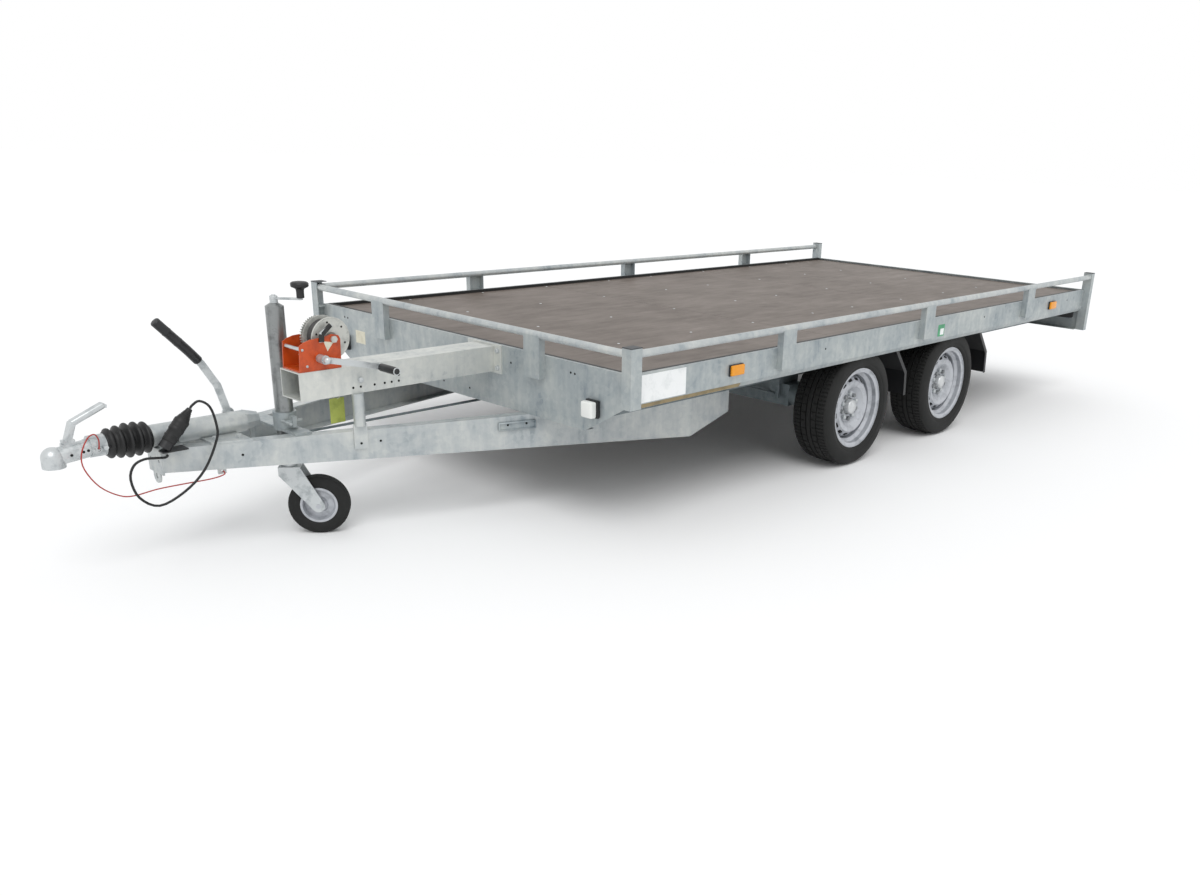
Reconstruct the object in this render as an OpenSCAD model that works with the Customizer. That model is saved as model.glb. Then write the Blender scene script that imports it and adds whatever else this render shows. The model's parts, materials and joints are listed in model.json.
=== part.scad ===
// Flatbed car hauler trailer with two axles, a V drawbar and a hand winch.
// Millimetres. +X points to the towing vehicle, +Y to the trailer's left, +Z up.
// The origin is on the ground, below the middle of the overall length.

/* [Deck] */
// Length over the corner posts
deck_l = 3900; // [3600:10:4400]
// Width over the corner posts and stanchions
deck_w = 2000; // [1960:10:2200]
// Height of the side rails' top edge above the ground
rail_top = 617; // [605:1:660]
// Height of the side rails' upright web
rail_h = 106; // [95:1:115]
// Thickness of the folded steel sheet
sheet_t = 3; // [2:0.5:4]
// Width of the rails' narrow top flange
top_flange = 15; // [12:1:25]
// Height of the slanted lip below the rails' web
lip_h = 18; // [12:1:24]
// How far the posts and stanchions stand out from the rails
post_proud = 33; // [28:1:42]
// Thickness of the plywood deck panels
ply_t = 18; // [12:1:21]
// How far the deck lies below the top of the rails
ply_drop = 12; // [6:1:16]
// Number of plywood panels along the deck
ply_count = 3; // [2:1:4]
// Gap round each plywood panel
ply_gap = 2; // [1:0.5:4]

/* [Posts and handrails] */
// Diameter of the handrail tubes
tube_d = 27; // [21:1:34]
// Height of the handrails' top
handrail_top = 704; // [690:1:760]
// Height of the corner posts' top
post_top = 716; // [712:1:780]
// Height of the front posts' lower end
post_foot = 505; // [495:1:510]
// Thickness of the corner posts
post_t = 4; // [3:0.5:6]
// Leg of the front corner posts along the side
post_leg_x = 52; // [46:1:60]
// Leg of the front corner posts across the front
post_leg_y = 44; // [42:1:56]
// Width of the stanchions
stanchion_w = 85; // [60:1:100]
// Height of the stanchions' lower end
stanchion_foot = 533; // [525:1:545]

/* [Underframe] */
// Height of the front plate's and rear sill's lower edge
sill_foot = 382; // [378:1:384]
// Height of the cross members
cross_h = 70; // [50:1:70]
// Width of the cross members' flanges
cross_flange = 40; // [30:1:50]
// Distance from the middle of the tyres in to the long beams' outer face
beam_in = 185; // [178:1:228]
// Width of the long beams' flanges
beam_flange = 50; // [40:1:60]

/* [Wheels and axles] */
// Outer radius of the tyres
tyre_r = 262.5; // [255:0.5:270]
// Width of the tyres
tyre_w = 195; // [185:1:200]
// Distance from the front plate to the front axle
axle_a = 1530; // [1480:5:1560]
// Distance between the two axles
wheelbase = 816; // [780:2:860]
// Distance from the side rails' outer face in to the middle of the tyres
wheel_in = 119; // [117:1:121]
// Nominal diameter of the rim where the tyre sits
rim_d = 330; // [325:1:335]
// Horizontal reach of the trailing arms
arm_reach = 167; // [150:1:180]
// Height of the axle tubes' middle
axle_z = 310; // [300:1:320]
// Side of the square axle tubes
axle_s = 96; // [80:1:100]

/* [Drawbar] */
// How far the coupling's nose reaches ahead of the deck
reach = 1480; // [1476:2:1600]
// Distance from the coupling's nose back to where the drawbar beams start
nose_gap = 330; // [320:2:350]
// Distance from the middle to the drawbar beams' outer face at the nose
nose_y = 50; // [48:1:56]
// Height of the drawbar beams' top
draw_top = 382; // [378:1:384]
// Height of the drawbar beams' foot at the nose
draw_foot_nose = 305; // [295:1:315]
// Height of the drawbar beams' foot where they bend to run along the frame
draw_foot_bend = 224; // [200:1:240]
// Height of the drawbar beams' foot at their rear end
draw_foot_end = 291; // [270:1:310]
// Where the drawbar beams bend, behind the front plate
bend_x = 700; // [660:5:740]
// Length of the drawbar beams behind the bend
tail_x = 240; // [200:5:280]
// Thickness of the drawbar beams
draw_t = 5; // [4:0.5:6]
// Width of the drawbar beams' flanges
draw_flange = 48; // [40:1:50]

/* [Coupling] */
// Height of the overrun tube's axis
tow_z = 418.5; // [418:0.5:424]
// Outer radius of the overrun housing
housing_r = 36; // [34:0.5:36]
// Radius of the overrun tube
slide_r = 25; // [20:1:27]
// Largest radius of the rubber bellows
bellows_r = 57; // [50:1:60]
// Number of folds of the bellows
bellows_folds = 5; // [4:1:7]
// Radius of the ball socket
socket_r = 25.2; // [25.1:0.1:25.6]
// Outer radius of the coupling's head
head_r = 33; // [31:0.5:36]

/* [Winch] */
// Distance from the drawbar beams' nose back to the winch beam's end
winch_beam_gap = 380; // [350:5:410]
// Width of the winch beam
winch_beam_w = 120; // [112:1:130]
// Height of the winch beam
winch_beam_h = 95; // [80:1:100]
// Height of the winch beam's top
winch_beam_top = 610; // [600:1:612]
// Distance from the middle to the middle of the winch beam
winch_y = 190; // [186:1:196]
// Radius of the winch drum's flanges
drum_flange_r = 70; // [64:1:70]
// Number of teeth of the winch drum's gear
gear_teeth = 48; // [48:12:48]
// Number of teeth of the winch crank's pinion
pinion_teeth = 12; // [12:12:12]
// Distance between the drum's axle and the crank's shaft
gear_gap = 80; // [80:0.5:84]
// Length of the winch crank
crank_l = 209; // [200:1:215]

/* [Jockey wheel] */
// Radius of the jockey wheel
jockey_r = 105; // [100:1:108]
// Width of the jockey wheel
jockey_w = 50; // [44:1:56]
// How far the jockey wheel trails behind its column
jockey_trail = 90; // [80:1:100]
// Direction in which the jockey wheel trails, from +X towards +Y
jockey_turn = 142; // [120:1:180]
// Radius of the jockey column
column_r = 30; // [27:1:32]
// Height of the jockey column's top
column_top = 800; // [780:5:820]

/* [Hidden] */

$fn = 48;
eps = 0.3;                                  // seat between pieces that are not welded
front_x = (deck_l - reach) / 2;             // outer face of the front posts
rear_x = front_x - deck_l;                  // outer face of the rear posts
rail_y = deck_w / 2 - post_proud;           // outer face of the side rails
plate_x = front_x - post_proud;             // front face of the front plate
track_half = rail_y - wheel_in;             // middle of the tyres
beam_y = track_half - beam_in;              // outer face of the long beams
nose_x = reach - nose_gap;                  // where the drawbar beams start, ahead of the front posts
winch_beam_l = nose_x - winch_beam_gap;
web_foot = rail_top - rail_h;               // lower edge of the rails' web
lip_in = lip_h * 0.6;                       // how far the lip slants inwards
deck_z = rail_top - ply_drop;               // top of the plywood
cross_top = deck_z - ply_t;
cross_foot = cross_top - cross_h;
rear_post_x = 36;                           // size of the rear posts along X
rear_post_y = 50;                           // size of the rear posts along Y
sill_x = rear_x + 20;                       // rear face of the rear sill
tube_y = deck_w / 2 - post_t - tube_d / 2;  // handrail axis
tube_z = handrail_top - tube_d / 2;
tube_x = front_x - post_t - tube_d / 2;
tube_wall = 2.5;
cap_t = 3;
axles = [front_x - axle_a, front_x - axle_a - wheelbase];
tyre_side = track_half + tyre_w / 2;        // outermost plane of the tyres

// Where things stand along the deck, measured back from the front posts
side_stanchions = [890, deck_l / 2 + 40, deck_l - 830];
front_stanchion_y = rail_y - 477;
guard_x = 245;                              // mudguards' upper end behind the wheel centre
cross_list = [460, 890, axle_a - 218, axle_a + guard_x, axle_a + 590, axle_a + wheelbase + guard_x,
              deck_l - 850, deck_l - 450];

// Drawbar
bend_slope = (beam_y - nose_y) / (nose_x + bend_x);
draw_angle = atan(bend_slope);
function draw_y(x) = nose_y + bend_slope * (nose_x - x);
function draw_foot(x) = draw_foot_nose
    - (draw_foot_nose - draw_foot_bend) * (nose_x - x) / (nose_x + bend_x);
head_x = front_x + reach - head_r;          // centre of the ball socket
bellows_rear = front_x + nose_x + 13;
bellows_l = 136;
housing_rear = front_x + nose_x - 300;
housing_feet = [[nose_x - 70, nose_x - 4, 44], [nose_x - 260, nose_x - 140, 150]];   // from, to and half width of each foot
housing_bolts = [[nose_x - 38, 33], [nose_x - 235, 92], [nose_x - 165, 70]];
relay_z = 340;                              // height of the brake rod
lever_x = housing_rear + 28;
lever_z = 440;
lever_y = -50;
ball_z = tow_z - 16;
handle_z = ball_z + 38;                     // foot of the coupling's handle
lug_x = nose_x - 176;                       // eye under the left beam
lug_y = 100;

// Winch
winch_top = winch_beam_top;
plate_y = 50;                               // inner faces of the winch's side plates
plate_w = 5;
drum_x = front_x + winch_beam_l - 136;
drum_z = winch_top + 97;
gear_module = 2 * gear_gap / (gear_teeth + pinion_teeth);
crank_a = -45;                              // direction from drum axle to crank shaft, in mesh
crank_x = drum_x + gear_gap * cos(crank_a);
crank_z = drum_z + gear_gap * sin(crank_a);
crank_hang = 13.5;                          // the crank hangs this far below level
gear_w = 10;
gear_y = -44;                               // the gears' far face, from the winch's middle
drum_axle_r = 8;
crank_axle_r = 5;

// Jockey wheel
column_x = front_x + winch_beam_l - 40;
column_y = 55;
wheel_x = column_x + jockey_trail * cos(jockey_turn);
wheel_y = column_y + jockey_trail * sin(jockey_turn);
column_foot = 300;
stem_r = 26.7;
king_r = 12;                                // pin on which the fork swivels
fork_top = 250;

// An outline for a sheet bent along a path, thickened by t to the path's left
function unit(v) = v / norm(v);
function left_of(v) = [-v[1], v[0]];
function mitre(p, i, t) =
    let (n = len(p),
         a = i > 0 ? left_of(unit(p[i] - p[i - 1])) : left_of(unit(p[1] - p[0])),
         b = i < n - 1 ? left_of(unit(p[i + 1] - p[i])) : a)
    p[i] + t * (a + b) / (1 + a * b);
function bent(p, t) =
    concat(p, [for (i = [len(p) - 1:-1:0]) mitre(p, i, t)]);

module along_x(x0, x1) {
    translate([x0, 0, 0]) rotate([90, 0, 90]) linear_extrude(x1 - x0) children();
}
module along_y(y0, y1) {
    translate([0, y1, 0]) rotate([90, 0, 0]) linear_extrude(y1 - y0) children();
}
module block(a, b) {
    translate(a) cube(b - a);
}
module both_sides() {
    children();
    mirror([0, 1, 0]) children();
}
module rod(a, b, r) {
    d = b - a;
    translate(a) rotate([0, acos(d[2] / norm(d)), atan2(d[1], d[0])]) cylinder(h = norm(d), r = r);
}

// Deck and its frame
rail_front = plate_x - sheet_t;             // the rails start behind the front plate
rail_rear = rear_x + rear_post_x;
panel_l = (rail_front - sill_x - top_flange - ply_gap) / ply_count;

module deck_panels() {
    half = rail_y - top_flange - ply_gap;
    color("#7d736d") for (i = [0:ply_count - 1])
        block([rail_front - top_flange - ply_gap - (i + 1) * (panel_l - top_flange / ply_count)
               + ply_gap / 2, -half, cross_top],
              [rail_front - top_flange - ply_gap - i * (panel_l - top_flange / ply_count)
               - ply_gap / 2, half, deck_z]);
}
module side_rail() {
    profile = [[rail_y - top_flange, rail_top], [rail_y, rail_top], [rail_y, web_foot],
               [rail_y - lip_in, web_foot - lip_h]];
    color("#b4babb") along_x(rail_rear, rail_front)
        polygon(bent([for (i = [3:-1:0]) profile[i]], sheet_t));
}
module side_rail_left() side_rail();
module side_rail_right() mirror([0, 1, 0]) side_rail();

chamfer_y = rail_y - 221;
module front_plate() {
    flange = 40;
    color("#a9b1b3") difference() {
        intersection() {
            along_y(-rail_y, rail_y) polygon(bent([[plate_x - top_flange, rail_top],
                [plate_x, rail_top], [plate_x, sill_foot], [plate_x - flange, sill_foot]], -sheet_t));
            along_x(plate_x - flange - 1, plate_x + 1) polygon([[-rail_y, rail_top + 1],
                [rail_y, rail_top + 1], [rail_y, web_foot], [chamfer_y, sill_foot], [chamfer_y, 0],
                [-chamfer_y, 0], [-chamfer_y, sill_foot], [-rail_y, web_foot]]);
        }
        beam_notches(plate_x - flange - 1, plate_x - sheet_t);
        // the top flange stops where the rails' own flanges begin
        both_sides() block([plate_x - flange - 1, rail_y - top_flange, web_foot],
                           [rail_front, rail_y + 1, rail_top + 1]);
    }
}
lamp_y = rail_y - 167;
lamp_cut = [240, 110];
lamp_z = 500;
module beam_notches(x0, x1) {
    both_sides() block([x0, beam_y - beam_flange - 1, sill_foot - 1],
                       [x1, beam_y + 1, sill_foot + sheet_t + 1]);
}
module rear_sill() {
    flange = 40;
    half = deck_w / 2 - rear_post_y;
    color("#a9b1b3") difference() {
        along_y(-half, half) polygon(bent([[sill_x + top_flange, rail_top], [sill_x, rail_top],
            [sill_x, sill_foot], [sill_x + flange, sill_foot]], sheet_t));
        both_sides() block([sill_x - 1, lamp_y - lamp_cut[0] / 2, lamp_z - lamp_cut[1] / 2],
                           [sill_x + sheet_t + 1, lamp_y + lamp_cut[0] / 2, lamp_z + lamp_cut[1] / 2]);
        beam_notches(sill_x + sheet_t, sill_x + flange + 1);
    }
}
module cross_members() {
    half = rail_y - sheet_t;
    color("#8d979c") for (x = cross_list)
        along_y(-half, half) polygon(bent([[front_x - x - cross_flange / 2, cross_foot],
            [front_x - x + cross_flange / 2, cross_foot], [front_x - x + cross_flange / 2, cross_top],
            [front_x - x - cross_flange / 2, cross_top]], sheet_t));
}
module long_beams() {
    color("#98a2a6") both_sides() along_x(sill_x + sheet_t, rail_front)
        polygon(bent([[beam_y - beam_flange, cross_foot], [beam_y, cross_foot],
                      [beam_y, sill_foot], [beam_y - beam_flange, sill_foot]], -4));
}

// Posts, stanchions and handrails
module front_post() {
    outer = deck_w / 2;
    spacer = [[front_x - post_t, outer - post_t], [front_x - post_t, outer - post_leg_y],
              [plate_x, outer - post_leg_y], [plate_x, rail_y], [front_x - post_leg_x, rail_y],
              [front_x - post_leg_x, outer - post_t]];
    translate([0, 0, post_foot]) linear_extrude(post_top - cap_t - post_foot)
        polygon(bent([[front_x - post_leg_x, outer], [front_x, outer],
                      [front_x, outer - post_leg_y]], -post_t));
    for (z = [web_foot + 2, rail_top - 12])
        translate([0, 0, z]) linear_extrude(6) polygon(spacer);
}
module rear_post() {
    outer = deck_w / 2;
    translate([0, 0, sill_foot]) linear_extrude(post_top - cap_t - sill_foot) difference() {
        translate([rear_x, outer - rear_post_y]) square([rear_post_x, rear_post_y]);
        translate([rear_x + sheet_t, outer - rear_post_y + sheet_t])
            square([rear_post_x - 2 * sheet_t, rear_post_y - 2 * sheet_t]);
    }
}
module corner_posts() {
    color("#b9bfc0") both_sides() {
        front_post();
        rear_post();
    }
}
module post_caps() {
    outer = deck_w / 2 + 1;
    color("#3c4043") both_sides() {
        block([front_x - post_leg_x, outer - post_leg_y, post_top - cap_t],
              [front_x + 1, outer, post_top]);
        block([rear_x - 1, outer - rear_post_y - 1, post_top - cap_t],
              [rear_x + rear_post_x, outer, post_top]);
    }
}
// One stanchion at the origin: its outer face at y = 0, its flanges reach back to the rail
module stanchion() {
    depth = post_proud - post_t;
    difference() {
        translate([0, 0, stanchion_foot]) linear_extrude(tube_z - stanchion_foot)
            polygon(bent([[-stanchion_w / 2, -depth], [-stanchion_w / 2, 0], [stanchion_w / 2, 0],
                          [stanchion_w / 2, -depth]], -sheet_t));
        translate([-stanchion_w, -tube_d / 2, tube_z]) rotate([0, 90, 0])
            cylinder(h = 2 * stanchion_w, d = tube_d + 0.2);
    }
}
module stanchions() {
    color("#b4babb") both_sides() {
        for (x = side_stanchions) translate([front_x - x, deck_w / 2 - post_t, 0]) stanchion();
        translate([front_x - post_t, front_stanchion_y, 0]) rotate([0, 0, -90]) stanchion();
    }
}
module handrail(l) {
    difference() {
        cylinder(h = l, d = tube_d);
        translate([0, 0, -1]) cylinder(h = l + 2, d = tube_d - 2 * tube_wall);
    }
}
module side_handrail() {
    x0 = rail_rear;
    x1 = tube_x - tube_d / 2 - eps;
    color("#c3c8c8") translate([x0, tube_y, tube_z]) rotate([0, 90, 0]) handrail(x1 - x0);
}
module handrail_left() side_handrail();
module handrail_right() mirror([0, 1, 0]) side_handrail();
module handrail_front() {
    half = deck_w / 2 - post_t;
    color("#c3c8c8") translate([tube_x, half, tube_z]) rotate([90, 0, 0]) handrail(2 * half);
}

// Drawbar: two tapered channels, open inwards, that bend to run along the frame
module draw_side(x0, x1, foot0, foot1) {
    // side view of one stretch between two places measured ahead of the front posts
    polygon([[front_x + x0, draw_top], [front_x + x1, draw_top], [front_x + x1, foot1],
             [front_x + x0, foot0]]);
}
module draw_plan(inset, depth) {
    // plan of the beam's band that lies inset to inset + depth inside its outer face
    k = 1 / cos(draw_angle);
    m = tan(draw_angle / 2);
    polygon([[front_x + nose_x, nose_y - inset * k], [front_x - bend_x + inset * m, beam_y - inset],
             [front_x - bend_x - tail_x, beam_y - inset],
             [front_x - bend_x - tail_x, beam_y - inset - depth],
             [front_x - bend_x + (inset + depth) * m, beam_y - inset - depth],
             [front_x + nose_x, nose_y - (inset + depth) * k]]);
}
module draw_outline(lift) {
    polygon([[front_x + nose_x + 1, draw_top - lift], [front_x + nose_x + 1, draw_foot_nose + lift],
             [front_x - bend_x, draw_foot_bend + lift],
             [front_x - bend_x - tail_x - 1, draw_foot_end + lift],
             [front_x - bend_x - tail_x - 1, draw_top - lift]]);
}
module draw_beam() {
    difference() {
        intersection() {
            linear_extrude(draw_top) draw_plan(0, draw_flange);
            along_y(-50, beam_y + 50) draw_outline(0);
            block([0, 1.5, 0], [front_x + nose_x, beam_y + 1, draw_top + 1]
                  - [0, 0, 0]);
        }
        intersection() {
            linear_extrude(draw_top) draw_plan(draw_t, draw_flange);
            along_y(-50, beam_y + 50) draw_outline(draw_t);
        }
    }
}
module drawbar_left() {
    color("#b4babb") union() {
        draw_beam();
        // eye under the beam that the breakaway cable starts from
        difference() {
            block([front_x + lug_x, lug_y - 8, draw_foot(lug_x) - 16],
                  [front_x + lug_x + 26, lug_y, draw_foot(lug_x) + 4]);
            translate([front_x + lug_x + 13, lug_y - 9, draw_foot(lug_x) - 6]) rotate([-90, 0, 0])
                cylinder(h = 10, r = 4);
        }
    }
}
module drawbar_right() {
    color("#b4babb") mirror([0, 1, 0]) draw_beam();
}
// The rounded bracket that closes the nose and carries the breakaway cable's eye
module drawbar_nose() {
    x0 = front_x + nose_x;
    foot = 262;
    color("#b9bfc0") along_x(x0, x0 + 6) difference() {
        union() {
            translate([-nose_y, draw_foot_nose - 8]) square([2 * nose_y, draw_top - draw_foot_nose + 8]);
            translate([-24, foot + 24]) square([48, draw_foot_nose - foot - 24]);
            translate([0, foot + 24]) circle(r = 24);
        }
        translate([0, foot + 24]) circle(r = 9);
        for (s = [-1, 1]) translate([s * 30, draw_foot_nose + 36]) circle(r = 5);
    }
}

// Winch beam, its post and the winch
module winch_beam() {
    y0 = winch_y - winch_beam_w / 2;
    y1 = winch_y + winch_beam_w / 2;
    wall = 4;
    color("#b9bfc0") union() {
        along_x(plate_x + 5, front_x + winch_beam_l) difference() {
            translate([y0, winch_top - winch_beam_h]) square([winch_beam_w, winch_beam_h]);
            translate([y0 + wall, winch_top - winch_beam_h + wall])
                square([winch_beam_w - 2 * wall, winch_beam_h - 2 * wall]);
        }
        block([plate_x, y0 - 40, winch_top - winch_beam_h - 7], [plate_x + 6, y1 + 40, rail_top]);
    }
}
post_x = nose_x - (winch_y + winch_beam_w / 2 - 4.5 - nose_y) / bend_slope;
module winch_post() {
    r = 20;
    flat_t = 8;
    top = winch_top - winch_beam_h;
    color("#b4babb") translate([front_x + post_x, draw_y(post_x), 0])
    rotate([0, 0, -draw_angle]) union() {
        translate([0, flat_t / 2 + 0.2, draw_top + 20]) cylinder(h = top - draw_top - 20, r = r);
        translate([-r - 3, 0.2, draw_top - 62]) cube([2 * r + 6, flat_t, 88]);
    }
}

module winch_plate_outline() {
    // side view of one plate, from the drum's axle along X and from the foot along Z
    polygon([[128, 0], [123, 87], [107, 96], [83, 103], [41, 106], [4, 114], [-19, 108],
             [-25, 95], [-22, 0]]);
}
module winch_frame() {
    color("#d65f33") translate([drum_x, winch_y, winch_top]) difference() {
        union() {
            translate([-22, -plate_y - plate_w, 0]) cube([150, 2 * (plate_y + plate_w), plate_w]);
            for (y = [-plate_y - plate_w, plate_y])
                along_y(y, y + plate_w) winch_plate_outline();
        }
        translate([0, -plate_y - plate_w - 1, drum_z - winch_top]) rotate([-90, 0, 0])
            cylinder(h = 2 * (plate_y + plate_w + 1), r = drum_axle_r + 0.05);
        translate([crank_x - drum_x, -plate_y - plate_w - 1, crank_z - winch_top])
            rotate([-90, 0, 0]) cylinder(h = 2 * (plate_y + plate_w + 1), r = crank_axle_r + 0.05);
    }
}
// A spur gear's outline: flat-sided teeth that taper from root to tip
module gear(teeth, slack) {
    m = gear_module;
    r = m * teeth / 2;
    half = 90 / teeth - slack;
    for (i = [0:teeth - 1]) rotate(360 * i / teeth) polygon([
        [(r - 1.25 * m) * cos(half * 1.5), -(r - 1.25 * m) * sin(half * 1.5)],
        [(r + 0.9 * m) * cos(half * 0.45), -(r + 0.9 * m) * sin(half * 0.45)],
        [(r + 0.9 * m) * cos(half * 0.45), (r + 0.9 * m) * sin(half * 0.45)],
        [(r - 1.25 * m) * cos(half * 1.5), (r - 1.25 * m) * sin(half * 1.5)],
        [0, 0]]);
    circle(r = r - 1.22 * m);
}
module winch_drum() {
    flange_t = 3;
    near = 39;                              // outer face of the near flange from the winch's middle
    far = -16;                              // outer face of the far flange
    color("#b9bec0") translate([drum_x, winch_y, drum_z]) rotate([-90, 0, 0]) union() {
        translate([0, 0, -plate_y - plate_w - 5]) cylinder(h = 2 * (plate_y + plate_w + 5), r = drum_axle_r);
        for (s = [-1, 1]) translate([0, 0, s > 0 ? plate_y + plate_w + eps : -plate_y - plate_w - eps - 7])
            cylinder(h = 7, d = 24, $fn = 6);
        translate([0, 0, far]) cylinder(h = flange_t, r = drum_flange_r);
        translate([0, 0, far]) cylinder(h = near - far, r = 32);
        translate([0, 0, near - flange_t]) cylinder(h = flange_t, r = drum_flange_r);
        translate([0, 0, gear_y + gear_w - 1]) cylinder(h = far - gear_y - gear_w + 2, r = 24);
        translate([0, 0, gear_y]) linear_extrude(gear_w) gear(gear_teeth, 0.25);
    }
}
module winch_crank() {
    out = plate_y + plate_w;
    arm_in = 88;                            // inner face of the arm from the winch's middle
    arm_w = 20;
    bend = [-143, -33];
    grip = [-crank_l * cos(crank_hang), -crank_l * sin(crank_hang)];
    color("#c3c6c6") translate([crank_x, winch_y, crank_z]) {
        rotate([-90, 0, 0]) union() {
            translate([0, 0, -out - 4]) cylinder(h = 2 * out + 12, r = crank_axle_r);
            translate([0, 0, gear_y]) linear_extrude(gear_w) gear(pinion_teeth, 0.9);
            translate([0, 0, out + 3]) cylinder(h = arm_in - out - 2, r = 14);
            translate([0, 0, arm_in]) cylinder(h = 8, r = 15);
            translate([0, 0, arm_in + 7]) cylinder(h = 12, r = 12);
            translate([0, 0, arm_in + 19]) sphere(r = 12);
        }
        along_y(arm_in, arm_in + 8) polygon(bent([[0, arm_w / 2], [bend[0], bend[1] + arm_w / 2],
            [grip[0], grip[1] + arm_w / 2]], arm_w));
        translate([grip[0], arm_in, grip[1]]) rotate([-90, 0, 0]) {
            cylinder(h = 8, r = 12);
            cylinder(h = 102, r = 6);
            translate([0, 0, 9]) cylinder(h = 93, r = 13);
        }
    }
}

// The rod that spaces the winch's plates and the pawl outside the near plate
module winch_fittings() {
    color("#c8cccc") translate([drum_x, winch_y, winch_top]) {
        translate([114, -plate_y + eps, 73]) rotate([-90, 0, 0]) cylinder(h = 2 * (plate_y - eps), r = 6);
        along_y(plate_y + plate_w + eps, plate_y + plate_w + 6) polygon([[38, 92], [54, 92],
            [50, 122], [12, 150], [2, 142], [34, 116]]);
    }
}

// Overrun brake, coupling and parking brake
module overrun_housing() {
    wall = 6;
    front = bellows_rear - housing_rear;
    color("#b9bfc0") difference() {
        union() {
            translate([housing_rear, 0, tow_z]) rotate([0, 90, 0]) cylinder(h = front, r = housing_r);
            // feet that sit on the drawbar beams
            translate([0, 0, draw_top]) linear_extrude(8) for (f = housing_feet)
                polygon([for (p = [[0, -1], [1, -1], [1, 1], [0, 1]])
                    [front_x + f[p[0]], p[1] * min(f[2], draw_y(f[p[0]]) - 2)]]);
            for (b = housing_bolts) for (s = [-1, 1])
                translate([front_x + b[0], s * b[1], draw_top + 7]) cylinder(h = 13, d = 19, $fn = 6);
            // faceted hood over the relay lever, and the lever below it
            translate([housing_rear + 3, 0, tow_z]) rotate([0, -90, 0]) cylinder(h = 50, r1 = 38, r2 = 24, $fn = 8);
            block([housing_rear - 32, -5, relay_z - 12], [housing_rear - 18, 5, tow_z - 20]);
            // pin for the parking brake lever
            translate([lever_x, lever_y - 5 - eps - 5, lever_z]) rotate([-90, 0, 0]) cylinder(h = 5, r = 15);
            translate([lever_x, lever_y - 8, lever_z]) rotate([-90, 0, 0]) cylinder(h = -lever_y - 12, r = 9);
        }
        translate([housing_rear + wall, 0, tow_z]) rotate([0, 90, 0])
            cylinder(h = front, r = slide_r + 0.05);
    }
}
module coupling_head() {
    tail = bellows_rear + bellows_l - head_x;
    rear = housing_rear + 20;
    color("#c3c8c8") difference() {
        union() {
            translate([head_x, 0, ball_z]) sphere(r = head_r);
            translate([head_x, 0, ball_z - 30]) cylinder(h = 30, r = head_r);
            // neck that runs back to the overrun tube
            translate([head_x, 0, ball_z]) hull() {
                sphere(r = 27, $fn = 32);
                translate([tail + 20, 0, tow_z - ball_z]) rotate([0, 90, 0])
                    cylinder(h = 1, r = slide_r + 4, $fn = 32);
            }
            translate([rear, 0, tow_z]) rotate([0, 90, 0]) cylinder(h = head_x - 90 - rear, r = slide_r);
            // clamp round the tube with its two bolts, and the pad under the handle
            translate([head_x + tail + eps, 0, tow_z]) rotate([0, 90, 0]) cylinder(h = 46, r = slide_r + 9);
            for (x = [11, 34]) translate([head_x + tail + x, 0, tow_z]) rotate([90, 0, 0])
                cylinder(h = 96, d = 14, center = true);
            block([head_x - 66, -12, ball_z], [head_x - 28, 12, handle_z - eps]);
        }
        // ball socket: a straight mouth closed by a round roof
        translate([head_x, 0, ball_z - 40]) cylinder(h = 40, r = socket_r);
        translate([head_x, 0, ball_z]) sphere(r = socket_r);
    }
}
module coupling_handle() {
    x = head_x - 57;
    color("#b9bfc0") along_y(-13, 13) difference() {
        union() {
            polygon(bent([[x + 14, handle_z], [x + 8, handle_z + 16], [x - 8, handle_z + 60],
                          [x - 98, handle_z + 104], [x - 112, handle_z + 102]], 10));
            translate([x - 8, handle_z]) square([34, 10]);
        }
        translate([x - 40, handle_z - 20]) square([80, 20]);
    }
}
module bellows() {
    l = bellows_l / bellows_folds;
    small = slide_r + 12;
    bore = slide_r + eps;
    // half outline: cuffs at both ends, folds between them
    folds = [for (i = [0:bellows_folds - 1]) each [
        [small + 2, i * l + 1],
        [bellows_r - 10 * abs(i - 1.6) / bellows_folds * 2, i * l + l * 0.38],
        [bellows_r - 10 * abs(i - 1.6) / bellows_folds * 2, i * l + l * 0.62]]];
    color("#2b2a29") translate([bellows_rear + eps, 0, tow_z]) rotate([0, 90, 0])
        rotate_extrude() polygon(concat([[bore, 0], [small, 0]], folds,
            [[small, bellows_l - 2 * eps], [bore, bellows_l - 2 * eps]]));
}
module brake_lever() {
    blade = 20;
    w = 24;
    // side view: a blade that rises from the hub and leans forwards
    p = [[lever_x, lever_z], [lever_x + 26, lever_z + 100], [lever_x + 73, lever_z + 183],
         [lever_x + 110, lever_z + 226]];
    grip_end = [lever_x + 197, lever_z + 323];
    d = unit(grip_end - p[3]);
    color("#a9b1b3") difference() {
        union() {
            along_y(lever_y - 4, lever_y + 4) polygon(bent([for (q = p) q + [-w / 2, 2]], -w));
            translate([lever_x, lever_y - 4, lever_z]) rotate([-90, 0, 0]) cylinder(h = 8, r = blade);
            rod([p[3][0] - 10 * d[0], lever_y, p[3][1] - 10 * d[1]], [grip_end[0], lever_y, grip_end[1]], 7);
            rod([p[3][0], lever_y, p[3][1]], [grip_end[0] + 4 * d[0], lever_y, grip_end[1] + 4 * d[1]], 15);
        }
        translate([lever_x, lever_y - 6, lever_z]) rotate([-90, 0, 0]) cylinder(h = 12, r = 9.05);
    }
}
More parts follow.
